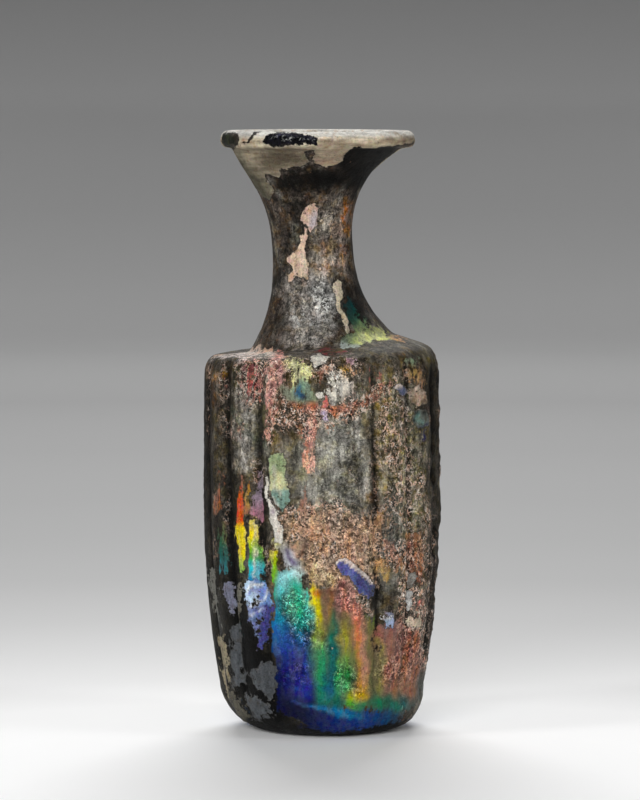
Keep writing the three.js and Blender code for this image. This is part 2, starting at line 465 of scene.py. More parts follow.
def groove_notch(points):
    """How deep each point lies in a groove, from 0 on a crest to 1: one less a power of a half sine wave
    from each groove to the next. The grooves twist to the right on their way down, and wander a little."""
    back = np.linspace(FRONT_GROOVES[-1][0], FRONT_GROOVES[0][0] + 360, BACK_GROOVES + 2)[1:-1]
    behind = [(place, BACK_GROOVE_DEPTH) for place in back]
    once_round = [(FRONT_GROOVES[0][0] + 360, FRONT_GROOVES[0][1])]
    at, depth = np.array(FRONT_GROOVES + behind + once_round).T
    lean = GROOVE_TWIST * (0.5 - np.clip(HEIGHT / BARREL_TOP, 0, 1))
    wander = GROOVE_WANDER * lumps(points, (14, 14, 30), 11)
    around = (np.degrees(AZ) - lean + wander - at[0]) % 360 + at[0]
    index = np.clip(np.searchsorted(at, around, side="right") - 1, 0, len(at) - 2)
    share = (around - at[index]) / (at[index + 1] - at[index])
    pressed = np.where(share < 0.5, depth[index], depth[index + 1])
    return (1 - np.sin(np.clip(share, 0, 1) * np.pi) ** RIB_SQUARENESS) * pressed


notch = groove_notch(smooth_points)
groove_fade = ramped(HEIGHT, GROOVE_FOOT_HEIGHT, GROOVE_FOOT_HEIGHT + GROOVE_FOOT_FADE)
groove_fade = groove_fade * (1 - ramped(HEIGHT, BEND_TOP - GROOVE_TOP_FADE, BEND_TOP)) * is_outside[ROW]
groove = notch * groove_fade


# Where a point shows from the front, in millimetres to the right of the axis and above the ground. The
# weathering is laid on the front by these two, because that is how it was looked at.
FRONT_EYE = np.array([-0.33, -950.0, 145.0])
FRONT_AIM = np.array([-0.33, 0.0, 71.5])
GROUND_LINE = 70.87
FRONT_EDGE = 0.12


def front_view(points):
    """Perspective division: across and up the view, scaled to sizes at the bottle's axis."""
    forward = FRONT_AIM - FRONT_EYE
    reach = np.linalg.norm(forward)
    forward = forward / reach
    upward = np.array([0, -forward[2], forward[1]])
    away = points - FRONT_EYE
    depth = away @ forward
    return away[..., 0] / depth * reach + FRONT_EYE[0], away @ upward / depth * reach + GROUND_LINE


across, upright = front_view(smooth_points)
facing = np.cos(AZ)
front = ramped(facing, -FRONT_EDGE, FRONT_EDGE) * is_outside[ROW]

ragged = np.stack([lumps(smooth_points, 2.6, 21) + 0.6 * lumps(smooth_points, 1.1, 22),
                   lumps(smooth_points, 2.6, 23) + 0.6 * lumps(smooth_points, 1.1, 24)])


def ink(colour):
    """A colour, or several, given as a screen shows it in parts of 255, turned to light."""
    screen = np.array(colour) / 255
    return np.where(screen <= 0.04045, screen / 12.92, ((screen + 0.055) / 1.055) ** 2.4)


def stroke(path, warp=0.8):
    """How far each point lies inside a brush stroke: the brush's radius at the nearest place of its path,
    less the distance to it. The path's stops are across, up and radius. The second result says how far
    along the path that place is, counted in stops."""
    h, v = across + ragged[0] * warp, upright + ragged[1] * warp
    path = np.array(path, float)
    if len(path) == 1:
        path = np.vstack([path, path])
    inside = np.full(h.shape, -np.inf)
    along = np.zeros(h.shape)
    for i, ((ah, av, ar), (bh, bv, br)) in enumerate(zip(path[:-1], path[1:])):
        length = (bh - ah) ** 2 + (bv - av) ** 2 + 1e-9
        share = np.clip(((h - ah) * (bh - ah) + (v - av) * (bv - av)) / length, 0, 1)
        here = mix(ar, br, share) - np.hypot(h - mix(ah, bh, share), v - mix(av, bv, share))
        along = np.where(here > inside, i + share, along)
        inside = np.maximum(inside, here)
    return inside, along


def island(corners, warp=0.35):
    """How far each point lies inside a closed outline of straight edges, and negative outside it."""
    h, v = across + ragged[0] * warp, upright + ragged[1] * warp
    corners = np.array(corners, float)
    within = np.zeros(h.shape, bool)
    nearest = np.full(h.shape, np.inf)
    for (ah, av), (bh, bv) in zip(corners, np.roll(corners, -1, axis=0)):
        length = (bh - ah) ** 2 + (bv - av) ** 2 + 1e-9
        share = np.clip(((h - ah) * (bh - ah) + (v - av) * (bv - av)) / length, 0, 1)
        nearest = np.minimum(nearest, np.hypot(h - mix(ah, bh, share), v - mix(av, bv, share)))
        if av != bv:
            within ^= ((av > v) != (bv > v)) & (h < ah + (v - av) * (bh - ah) / (bv - av))
    return np.where(within, nearest, -nearest)


BLACK = (7, 7, 7)
SOOT = (30, 27, 22)
UMBER = (72, 62, 48)
CRUST = (92, 83, 66)
OLIVE = (98, 96, 66)
ASH = (124, 122, 112)
OCHRE = (196, 150, 104)
RUST = (160, 104, 76)
COPPER = (168, 118, 96)
ROSE = (158, 110, 98)
SALMON = (200, 130, 114)
VERMILION = (232, 96, 52)
CRIMSON = (150, 78, 80)
GOLD = (206, 168, 62)
YELLOW = (250, 226, 44)
LIME = (150, 208, 60)
LEAF = (74, 168, 78)
TEAL = (30, 112, 112)
CYAN = (92, 208, 218)
AZURE = (28, 126, 186)
ROYAL = (74, 84, 168)
BLUE = (34, 66, 156)
NAVY = (22, 28, 66)
IVORY = (216, 200, 168)
CHALK = (232, 226, 212)
PEACH = (214, 176, 148)
SLATE = (80, 84, 88)
STEEL = (150, 172, 206)

EDGE_SPREAD = 1.4

wash = np.broadcast_to(ink(CRUST), (*AZ.shape, 3))


def laid(ground, colour, amount):
    """The ground colour, covered by another as thickly as the amount says, from 0 to 1."""
    return ground + (ink(colour) - ground) * np.clip(amount, 0, 1)[..., None]


def brushed(strokes, ground, cover):
    """Strokes laid over a ground colour, each over those before it. A stroke has its colours, one for
    all of it or one for each stop, the width its edge fades over, its strength and its path. The cover
    is how much of the ground they hide, from 0 to 1, and the colour is that of the strokes alone."""
    for colours, edge, strength, path in strokes:
        inside, along = stroke(path)
        amount = ramped(inside, -edge * EDGE_SPREAD, edge * EDGE_SPREAD) * front * strength
        colours = ink(colours)
        if colours.ndim == 2:
            stops = np.arange(len(colours))
            colours = np.stack([np.interp(along, stops, part) for part in colours.T], axis=-1)
        joined = amount + cover * (1 - amount)
        ground = ground + (colours - ground) * (amount / np.maximum(joined, 1e-6))[..., None]
        cover = joined
    return ground, cover


def dabbed(strokes):
    """Strokes at the front summed up as plain numbers. A stroke has the width its edge fades over, its
    strength and its path."""
    return sum(ramped(stroke(path)[0], -edge, edge) * front * strength for edge, strength, path in strokes)


# The crust that goes all round: brown, sooty and grey by turns, blacker in the grooves, near black low on
# the left and at the heel, and darker on the neck. At the front, painted shade darkens both side edges, and
# a painted highlight lightens the middle of the neck.
BODY_ENDS = (80, 84)
NECK_STARTS = (82.4, 85)
HEEL_DARK_TOP = 5
body = (1 - ramped(HEIGHT, *BODY_ENDS)) * is_outside[ROW]
on_neck = ramped(HEIGHT, *NECK_STARTS) * is_outside[ROW]
drift = crumpled(smooth_points, (9, 9, 16), 31)
patchy = crumpled(smooth_points, (4, 4, 9), 35)
wash = laid(wash, UMBER, 0.8 * ramped(drift, -0.1, 0.5))
wash = laid(wash, ASH, 0.6 * ramped(-drift, 0.0, 0.5))
wash = laid(wash, OLIVE, 0.4 * ramped(-patchy, 0.15, 0.5) * body)
wash = laid(wash, (84, 72, 62), on_neck * 0.9)
wash = laid(wash, SOOT, on_neck * 0.8 * ramped(crumpled(smooth_points, 3.2, 41), -0.05, 0.4))
wash = laid(wash, ASH, on_neck * 0.5 * ramped(crumpled(smooth_points, 2.4, 45), 0.1, 0.5))
# Near black towards the bottom of the heel, all round.
wash = laid(wash, (16, 15, 13), ramped(HEEL_DARK_TOP + 4 * drift - HEIGHT, -3, 3) * body)
CRUST_STROKES = [
    # Painted shade: a dark band down the left side edge of the body.
    (SOOT, 3, 0.95, [(-26.5, 80, 4.5), (-26, 40, 4.5), (-24, 8, 5)]),
    ((14, 13, 11), 2.5, 1, [(-19.8, 62, 1), (-19.5, 34, 3), (-16.5, 16, 6), (-13, 4, 6)]),
    (BLACK, 2.5, 1, [(-17, 18, 3), (-13, 8, 4), (-9, 1.5, 3.2)]),
    (UMBER, 1, 0.5, [(-22.4, 76, 1.2), (-22.4, 50, 1.2)]),
    ((104, 96, 80), 0.8, 0.8, [(-22.2, 76, 0.9), (-22, 58, 0.9)]),
    ((160, 154, 144), 1.4, 1, [(-16.8, 72, 1.3), (-16.7, 57, 1.7)]),
    ((120, 112, 90), 1.2, 0.8, [(21.4, 66, 0.9), (21.6, 30, 0.9)]),
    (SOOT, 0.7, 0.8, [(18.6, 64, 0.4), (18.8, 30, 0.8), (18.2, 9, 0.7)]),
    (SOOT, 0.8, 0.8, [(23.6, 70, 0.5), (23.8, 12, 0.7)]),
    ((160, 157, 145), 4.5, 0.9, [(5, 67, 5), (3.6, 60, 6.4), (3.6, 50, 5.6)]),
    ((150, 146, 118), 3, 0.9, [(15, 71, 4), (19, 60, 3), (19, 44, 3)]),
    ((146, 134, 104), 2.5, 0.8, [(14, 70, 3), (14.5, 52, 3), (20, 52, 3)]),
    ((112, 114, 108), 1.6, 0.9, [(15.5, 49, 1.4), (15.4, 39, 1.7)]),
    ((84, 78, 56), 1.6, 0.7, [(7, 57, 1.4), (4, 51, 1.2)]),
    ((96, 78, 52), 1.4, 0.7, [(13.4, 70, 1), (12.8, 63, 0.8)]),
    ((140, 104, 70), 0.8, 0.7, [(10.8, 50.6, 0.4), (13, 47, 0.6), (12.6, 43, 0.5)]),
    ((166, 162, 152), 1, 0.6, [(7.4, 63.4, 0.5), (9.4, 58, 0.7), (9.6, 52, 0.6)]),
    ((70, 66, 44), 1.2, 0.7, [(-12.6, 74, 0.4), (-12.8, 62, 0.7)]),
    ((90, 66, 44), 0.8, 0.8, [(-23.6, 75, 0.5), (-23, 70, 0.7)]),
    ((176, 140, 98), 0.5, 0.8, [(-24.4, 78.2, 0.4), (-23.8, 75.2, 0.3), (-21.6, 76.4, 0.3)]),
    ((96, 110, 90), 0.9, 0.6, [(-20.6, 69, 0.5), (-12.4, 60.6, 0.6)]),
    # Painted shade: a dark band down the right side edge of the body.
    (SOOT, 2, 0.8, [(25.2, 76, 2.5), (25.6, 10, 2.5)]),
    (SOOT, 0.8, 0.9, [(-12.4, 54, 0.9), (-12.7, 44, 1), (-11.8, 34, 1.2)]),
    (SOOT, 0.7, 0.9, [(11.6, 62, 0.3), (11.9, 30, 0.9), (11.6, 9, 0.8)]),
    (BLACK, 1.2, 0.95,
     [(8, 124, 6), (14, 122.4, 4.4), (7, 119, 2.4), (2, 119.4, 2), (-5, 118.6, 2.2), (-8.6, 118.4, 1.8)]),
    (SOOT, 1.5, 0.7, [(9, 113, 1.6), (8, 103, 1.4)]),
    # Painted highlight: a pale silvery streak down the middle of the neck.
    ((222, 220, 214), 2.2, 0.9, [(0, 97, 1), (0.2, 92.5, 2.4), (-2, 88, 3)]),
    ((190, 176, 158), 3, 0.85, [(1.6, 110, 2.4), (2, 101, 2.6)]),
    ((166, 158, 148), 2.5, 0.8, [(-6, 96, 1.6), (-3, 90, 3.6), (-4, 85, 3.6)]),
    (SOOT, 1, 0.6, [(6.6, 107, 0.6), (6.4, 99, 0.8)]),
    ((12, 12, 20), 0.4, 1, [(-12, 127.4, 1.6), (-1.2, 127.4, 1.6)]),
    # Painted sheen: a thin lighter line along the top of the lip's black patch.
    ((70, 70, 84), 0.25, 0.9, [(-10, 128.6, 0.2), (-2, 128.4, 0.3)]),
    ((36, 38, 28), 0.5, 1, [(-20.4, 127.4, 2)]),
    ((206, 156, 122), 1.2, 0.75, [(5, 112.4, 0.8), (4.4, 108.6, 1.1)]),
    ((170, 124, 92), 1.2, 0.75, [(2.8, 107.2, 0.6)]),
    ((176, 146, 120), 1.4, 0.75, [(0.3, 104, 0.6), (1.2, 100, 0.8)]),
    ((170, 128, 96), 1.2, 0.75, [(4.7, 103.6, 0.6), (4.2, 101, 0.8)]),
    (BLACK, 0.8, 0.8, [(-7.6, 108, 0.3), (-8, 100, 0.4)]),
    ((28, 25, 22), 0.9, 0.8, [(-6.4, 112, 0.8), (-4.6, 113.6, 0.6)]),
    (BLACK, 0.9, 0.8, [(-7.4, 94, 0.5), (-6.8, 91, 0.7)]),
    (BLACK, 1.5, 0.9, [(8, 96, 1.4), (7.6, 90, 1.8), (10, 87.8, 1.2)]),
]
wash = mix(wash, brushed(CRUST_STROKES, wash, np.ones(AZ.shape))[0], front[..., None])
wash = laid(wash, BLACK, 0.85 * ramped(groove, 0.3, 0.75))

# Skins of rainbow colour: round the back in bands that follow the glass's decay up the body, and at the
# front stroke by stroke, from the left edge to the right. Some front strokes are painted highlights, in
# whole or in part: on the left ribs' flanks, at the top of the body and along the left shoulder's top.
RAINBOW = [
    COPPER, ROSE, COPPER, (160, 134, 78), (104, 130, 80), (30, 108, 92), (16, 92, 118), (20, 54, 118),
    (36, 36, 92), NAVY, (16, 64, 84),
]
RAINBOW_TOP = 72
RAINBOW_STEP = 10
SKINS_BELOW = 38
COPPER_RING_HEIGHT = 44
THINNER_SKINS_FROM = (45, 52)
hue = (RAINBOW_TOP - HEIGHT) / RAINBOW_STEP + 1.5 * drift + 0.8 * patchy
paint = np.stack([np.interp(hue, np.arange(len(RAINBOW)), part) for part in ink(RAINBOW).T], axis=-1)
drips = crumpled(smooth_points, (3.4, 3.4, 18), 39)
cover = ramped(patchy + drips + (SKINS_BELOW - HEIGHT) / 40, 0.1, 1.0) * body
copper_ring = 1 - ramped(np.abs(HEIGHT - COPPER_RING_HEIGHT - 24 * drift), 2, 10)
copper_ring = copper_ring * ramped(drips + patchy, -0.3, 0.4) * body
cover = np.maximum(cover, 0.75 * copper_ring)
cover = mix(cover, 0.35 * ramped(patchy, 0.1, 0.6) * body, front)
SKIN_STROKES = [
    ((172, 98, 94), 1.6, 0.8, [(-15.8, 78, 2), (-15.6, 72, 1.5)]),
    ([(236, 170, 156), (236, 172, 158), (206, 150, 136), (214, 160, 144)], 0.9, 1,
     [(-9.6, 79, 2.2), (-10, 75, 2), (-11.2, 70, 1), (-11.2, 62, 0.7)]),
    (CRIMSON, 0.8, 0.5, [(-7.6, 77.6, 0.7), (-8.4, 72, 0.6)]),
    # Painted glints: a pale yellow-white patch at the top of the body.
    ((232, 228, 170), 1, 1, [(-6.2, 78.6, 1.7), (-4, 77, 1.9), (-5.6, 75.6, 1.2)]),
    ((126, 74, 52), 0.9, 0.8, [(-0.2, 77.2, 1.5), (0, 75.6, 0.9)]),
    ([GOLD, OCHRE], 0.9, 0.75, [(4.8, 77.8, 1.4), (5.8, 76.4, 1.2)]),
    ((196, 160, 172), 0.8, 0.85, [(5.9, 79.6, 1.4)]),
    (CRIMSON, 0.4, 0.8, [(-1, 81.2, 0.35), (4.8, 81.2, 0.45)]),
    ((236, 230, 216), 0.9, 1, [(2.7, 75.4, 1.7), (4.6, 72.6, 2.2), (2, 71.6, 1.5)]),
    ([(150, 156, 130), (140, 170, 146), (140, 146, 116)], 0.5, 1,
     [(-7.4, 72.6, 1.6), (-4.4, 72.8, 2), (-2, 71.4, 1.3)]),
    ([(30, 104, 140), NAVY], 0.4, 0.95, [(-5.4, 73, 0.8), (-4.5, 72, 0.7)]),
    (COPPER, 1.8, 0.5, [(-8.5, 66.5, 2.5), (-5, 64.5, 2.6), (2, 65, 2)]),
    ([RUST, COPPER, RUST, COPPER, COPPER], 0.7, 0.95,
     [(-8.6, 70.4, 0.8), (-3, 68.7, 1.1), (3.9, 68.3, 1.1), (9.6, 70.2, 0.9), (14.7, 74.2, 0.5)]),
    ((196, 112, 72), 0.5, 1, [(-2.8, 69.5, 1.3)]),
    (ROSE, 1.8, 0.5, [(8, 72.4, 2), (12.6, 76, 2.2)]),
    ((190, 180, 206), 0.4, 1, [(0.2, 67.8, 0.6), (0.8, 66.8, 0.5)]),
    ([(232, 166, 146), (230, 160, 140), (236, 184, 160), (230, 176, 154)], 0.5, 1,
     [(-2.6, 66.4, 0.8), (-3, 61, 1.1), (-2.8, 56.5, 1.1), (-3, 54.8, 0.4)]),
    (COPPER, 0.5, 0.85, [(-3.7, 53.4, 0.5), (-3.8, 46.4, 0.7)]),
    (RUST, 0.5, 0.8, [(-22, 56, 0.3), (-22.3, 50, 0.45), (-22.7, 47, 0.4)]),
    ([OLIVE, (40, 104, 76), (34, 100, 96), (60, 130, 140)], 0.6, 0.75,
     [(-21.8, 44, 0.4), (-21.8, 40.5, 0.5), (-21.6, 37, 0.6), (-21.4, 33.4, 0.4)]),
    # The two bright streaks down the left ribs' flanks: iridescent skin, brightened there as a painted
    # highlight.
    ([COPPER, VERMILION, VERMILION, YELLOW, YELLOW, LIME], 0.35, 1,
     [(-16.9, 53.6, 0.5), (-17.2, 49, 0.8), (-17.4, 44.4, 1), (-17.4, 42.2, 1.1), (-17.2, 37.4, 1),
      (-16.7, 33.8, 0.5)]),
    ([RUST, GOLD, RUST], 0.4, 0.9, [(-15.9, 53, 0.4), (-15.8, 49.4, 0.5), (-16, 46.4, 0.5)]),
    ([(140, 130, 140), (150, 132, 146), (184, 122, 138)], 0.4, 1,
     [(-13.6, 54.6, 0.35), (-13.9, 50, 0.7), (-14.3, 45.4, 0.9)]),
    ([YELLOW, YELLOW, LIME, LEAF, CYAN, AZURE], 0.35, 1,
     [(-15, 44, 0.5), (-14.6, 41, 0.9), (-14.4, 38.6, 1.1), (-14, 36.4, 1.2), (-14.1, 34, 1.2),
      (-14.2, 31, 1.2)]),
    # Painted highlights: thin white lines along the left ribs.
    (CHALK, 0.15, 0.9, [(-14.3, 37, 0.12), (-14, 31, 0.2)]),
    ((255, 250, 200), 0.15, 0.8, [(-14.7, 44, 0.1), (-14.3, 37, 0.16)]),
    ((184, 152, 126), 3, 0.85,
     [(-6.2, 43.8, 2), (2, 43.6, 4), (8.4, 42, 4), (8, 34, 4), (0, 36.4, 4), (-4, 38, 2.6)]),
    ([(206, 150, 112), (206, 152, 116)], 1.6, 0.5, [(-4, 43, 1.2), (1, 40.6, 1.6)]),
    ((216, 184, 140), 1.4, 0.8, [(-3, 35, 1.2), (0, 32.6, 1.4), (3, 31.6, 1.2)]),
    ((84, 64, 50), 0.6, 0.7, [(-3.8, 41, 0.3), (-3.2, 37, 0.6), (-2.6, 33.4, 0.4)]),
    ((96, 78, 62), 1, 0.6, [(3.4, 46.4, 0.4), (5.8, 43.6, 0.6), (8.6, 41, 0.5)]),
    ((206, 150, 116), 1.6, 0.5, [(6.2, 41.6, 1.1), (6.6, 34.6, 1)]),
    ([(10, 112, 116), (8, 60, 130), (14, 24, 80), (10, 16, 60)], 1, 1,
     [(-7.6, 31.6, 2.2), (-6.4, 24, 3.9), (-5.6, 12, 4.8), (-5, 6, 4.6)]),
    ([OLIVE, (110, 112, 60), LEAF, (30, 100, 90)], 1, 1,
     [(0, 27.6, 1.8), (0.6, 20, 3), (1.6, 12, 3.8), (2, 5, 3)]),
    ([ROSE, (130, 112, 70), (120, 120, 64), OLIVE], 1.2, 1,
     [(5, 27.6, 2), (7, 21, 3.6), (8, 13, 3.8), (9, 7, 3)]),
    ([YELLOW, LIME, LEAF, (30, 140, 150), AZURE, (20, 80, 150)], 0.5, 1,
     [(-10.6, 37.2, 0.35), (-10.1, 34.6, 0.6), (-9.7, 30, 0.8), (-9.5, 26.6, 1), (-9.3, 22, 1.2),
      (-9.2, 17, 1.4)]),
    ([(206, 200, 172), (190, 192, 204), (190, 200, 200)], 0.7, 0.9,
     [(-9.2, 39.6, 1), (-6.8, 37, 1.6), (-5.6, 35.2, 1.2)]),
    ((94, 74, 120), 0.35, 0.85, [(-7.2, 38.2, 0.4), (-5.8, 35.8, 0.5)]),
    ((226, 222, 120), 0.4, 0.8, [(-10, 40.4, 0.5), (-8.8, 39.8, 0.5)]),
    ([(214, 252, 250), (160, 250, 252), (84, 214, 226)], 0.9, 1,
     [(-5.2, 32.8, 1.2), (-7.4, 32.2, 1.5), (-8.6, 29.6, 1.4)]),
    ([(96, 206, 172), (76, 184, 146), (44, 150, 140), (16, 100, 160)], 1.6, 1,
     [(-5.6, 28.6, 2.2), (-5.2, 25.4, 2.8), (-4.8, 21.6, 2.6), (-4.4, 18, 1.8)]),
    ((96, 200, 190), 0.5, 0.8, [(-3.2, 29, 0.3), (-2.7, 23.4, 0.5)]),
    ([(8, 84, 160), (18, 60, 150), (36, 48, 140), (34, 52, 150)], 1.6, 0.9,
     [(-7.4, 20.4, 2), (-5.6, 17, 2.8), (-4.8, 12.4, 3.2), (-4.4, 8.4, 2.6)]),
    (ROYAL, 1.2, 0.5, [(-3.4, 14, 0.8), (-2.8, 9.6, 1)]),
    ([NAVY, TEAL], 0.9, 0.8, [(-2.6, 20, 0.6), (-1.4, 13, 0.8)]),
    ([YELLOW, YELLOW, (214, 200, 56), (160, 186, 66), (40, 150, 96), (30, 140, 104),
      (20, 124, 112)], 0.9, 1,
     [(-1.7, 30.2, 0.5), (-1.4, 26.6, 0.7), (-1, 23, 0.8), (-0.5, 19.6, 0.9), (0.3, 15.6, 1.1),
      (0.6, 10, 1.1), (0.4, 6, 1)]),
    ((226, 130, 56), 0.5, 0.95, [(-0.9, 29, 0.6)]),
    ([(150, 104, 74), (156, 124, 80), (130, 124, 66)], 0.9, 1,
     [(1.4, 28.4, 1.3), (0.9, 24, 1.2), (0.7, 19.4, 0.7)]),
    ([(20, 110, 84), (6, 116, 96), (2, 106, 106), (2, 100, 100), (2, 90, 130)], 0.9, 1,
     [(2.5, 25, 0.3), (2.6, 21, 0.9), (2.8, 17, 1.4), (2.6, 12, 1.6), (1.9, 8, 1.5)]),
    ([ROSE, SALMON, SALMON], 1.1, 0.9, [(4.2, 31, 1.3), (6, 27.6, 1.7), (7.6, 24.8, 1.5)]),
    ([OLIVE, (160, 150, 70), (170, 164, 66), (110, 156, 60), (60, 160, 84), (90, 176, 120)], 0.9, 1,
     [(4.7, 24, 0.7), (4.9, 21, 1), (5, 17.4, 1.1), (5, 14.4, 1.2), (4.9, 12, 1.2), (5.2, 8.4, 1.5)]),
    ([(206, 130, 106), (216, 144, 106), (206, 142, 98), (214, 162, 90)], 1, 1,
     [(8, 23, 1.2), (8.9, 19, 1.6), (9.2, 12, 1.5), (9, 8, 1)]),
    ([GOLD, (190, 190, 60)], 0.9, 1, [(7.8, 6.8, 1.4), (6.4, 5.6, 1.1)]),
    ([(40, 84, 80), (56, 80, 80), (70, 82, 80)], 1.2, 1, [(17, 4.4, 1), (20.2, 7, 1.5), (21.8, 11, 1)]),
    ([LEAF, (36, 140, 90)], 0.8, 1, [(5.6, 4.7, 0.6), (8.6, 4.4, 1)]),
    ((96, 120, 62), 0.7, 0.9, [(10.9, 24, 0.3), (10.7, 8, 0.6)]),
    ([OCHRE, (190, 160, 104)], 0.8, 0.85, [(13.1, 35.8, 0.7), (14.2, 33, 1)]),
    (COPPER, 1.2, 0.6, [(14.6, 40, 1), (16.6, 35, 1.2)]),
    ([ROSE, (150, 112, 98), (140, 112, 84)], 2, 0.8, [(16, 19.4, 4), (17, 14, 5), (15.6, 7.6, 4)]),
    ([ROSE, (176, 120, 104), (170, 112, 90)], 1.2, 0.8,
     [(14.7, 19.4, 1.4), (14.8, 14, 1.6), (14.6, 7.6, 1.4)]),
    ((150, 150, 80), 0.7, 0.75, [(12.9, 18, 0.5), (12.7, 8, 0.8)]),
    (STEEL, 0.4, 0.8, [(14.4, 23.8, 0.6), (15.1, 22.8, 0.6)]),
    ([COPPER, RUST], 1.4, 0.7, [(20, 41, 1.6), (20.4, 33, 1.8)]),
    ([(160, 100, 76), RUST, COPPER], 1.3, 0.75, [(19.6, 19, 1.5), (19, 12, 1.7), (18.6, 7, 1.2)]),
    ([SALMON, RUST], 0.6, 0.7, [(21.4, 27, 0.6), (21.2, 23.6, 0.6)]),
    ([(186, 152, 108), (190, 148, 104)], 1.4, 0.9, [(20.2, 76, 1.3), (21.6, 74.6, 1.2)]),
    ((140, 156, 128), 0.8, 0.9, [(19.8, 79.4, 1.3)]),
    ([NAVY, (40, 44, 84)], 0.5, 0.9, [(21.9, 64, 0.6), (22.4, 61.8, 0.6)]),
    ([(10, 124, 84), (10, 116, 90), (20, 96, 96)], 1.1, 1,
     [(11.6, 5.4, 1.3), (14.6, 4.6, 1.6), (18, 5, 1.2)]),
    ([(10, 14, 50), (6, 20, 80)], 1.2, 1, [(-6, 4.6, 1.8), (-1.6, 3, 1.6)]),
    ([(4, 14, 54), (2, 40, 124), (0, 62, 146), (2, 72, 112)], 1, 1,
     [(-4.4, 1.2, 1.2), (3, 0.8, 1.7), (9, 1.2, 1.8), (15.4, 2, 1.3)]),
    ([BLUE, AZURE, (26, 140, 200), (20, 120, 160)], 0.6, 0.95,
     [(-6, 5.4, 0.2), (-1.2, 3.9, 0.4), (3.1, 2.9, 0.5), (8.4, 2.2, 0.5)]),
    ([(26, 62, 64), (30, 80, 70), (70, 110, 88)], 1.2, 1,
     [(6.4, 92, 0.9), (6.8, 89, 1.3), (8.8, 87.4, 1)]),
    ([(120, 136, 110), (150, 166, 106), (150, 150, 106)], 1.2, 1,
     [(5.4, 84.2, 1), (8.8, 86.2, 1.1), (13, 85.8, 0.8)]),
    ([(200, 212, 140), (236, 240, 170), (214, 222, 126)], 0.9, 1,
     [(7.2, 83.6, 0.8), (10.6, 84.4, 1), (14, 84.8, 0.8)]),
    (OCHRE, 0.6, 0.9, [(15.8, 84.4, 0.8), (18, 83.9, 0.5)]),
    ((206, 218, 210), 0.5, 1, [(5, 82.6, 0.5), (8, 82.6, 0.5)]),
    # Painted highlight: a pale band along the top edge of the left shoulder.
    ([(186, 176, 166), (210, 198, 192), CHALK], 1, 1,
     [(-24, 79.8, 0.5), (-19, 80.6, 0.8), (-11, 80.6, 0.3)]),
    ([PEACH, (226, 210, 200), PEACH], 0.5, 1, [(-23.4, 80.8, 0.5), (-18, 81.8, 0.7), (-11, 81.8, 0.4)]),
]
painted, covered = brushed(SKIN_STROKES, paint, cover)
paint = mix(paint, painted, front[..., None])
thinner = 0.3 * ramped(upright, *THINNER_SKINS_FROM) * (1 - on_neck)
cover = mix(cover, covered * (1 - thinner), front)

# Flakes: scale that lies on the glass with a crisp edge, pale at the mouth and down the neck, slate grey
# on the black lower left, and a few bright ones. Each has its colour and its outline.
MOUTH_SCALE = (117, 124)
SCALE_ENDS = 112
INSIDE_SCALE_ABOVE = 124
LIP_CREST = (128.4, 129.4)
FUNNEL_SHADE = (114, 126)
FAR_FLAKES_BELOW = 80
FAR_FLAKES_PALE = (30, 60)
CREAM_SCALE = [
    (-23.5, 128.3), (-23.5, 134), (23, 134), (23, 128.5), (19.7, 126.8), (15.6, 126.1), (11.8, 125.6),
    (7.2, 126.1), (5.9, 125.5), (4.7, 124), (4.4, 122.7), (3, 121.8), (1, 121.4), (-1.6, 122.3),
    (-1.8, 123.2), (-4.6, 122), (-7.6, 120.9), (-8.7, 121.4), (-8.9, 119.3), (-12.5, 119.9),
    (-12.1, 118.2), (-10.2, 116.3), (-11.7, 114.4), (-14, 116.6), (-19, 122.5),
]
NOTCH = [(-3.6, 125.1), (-1.9, 125.5), (-1.4, 124.3), (-2.2, 123), (-3.3, 123.6)]
LIP_BARE_LEFT = [
    (-21.6, 128.5), (-20.7, 129.2), (-18.4, 129), (-17.8, 127.7), (-18.2, 126.4), (-19.2, 125.4),
    (-21.6, 126),
]
LIP_BARE_MIDDLE = [
    (-12.7, 127.4), (-12, 128.4), (-10, 129), (-6, 129), (-0.8, 128.2), (-1, 126.2), (-4.3, 126.7),
    (-8.4, 125.9), (-12.6, 126.4),
]
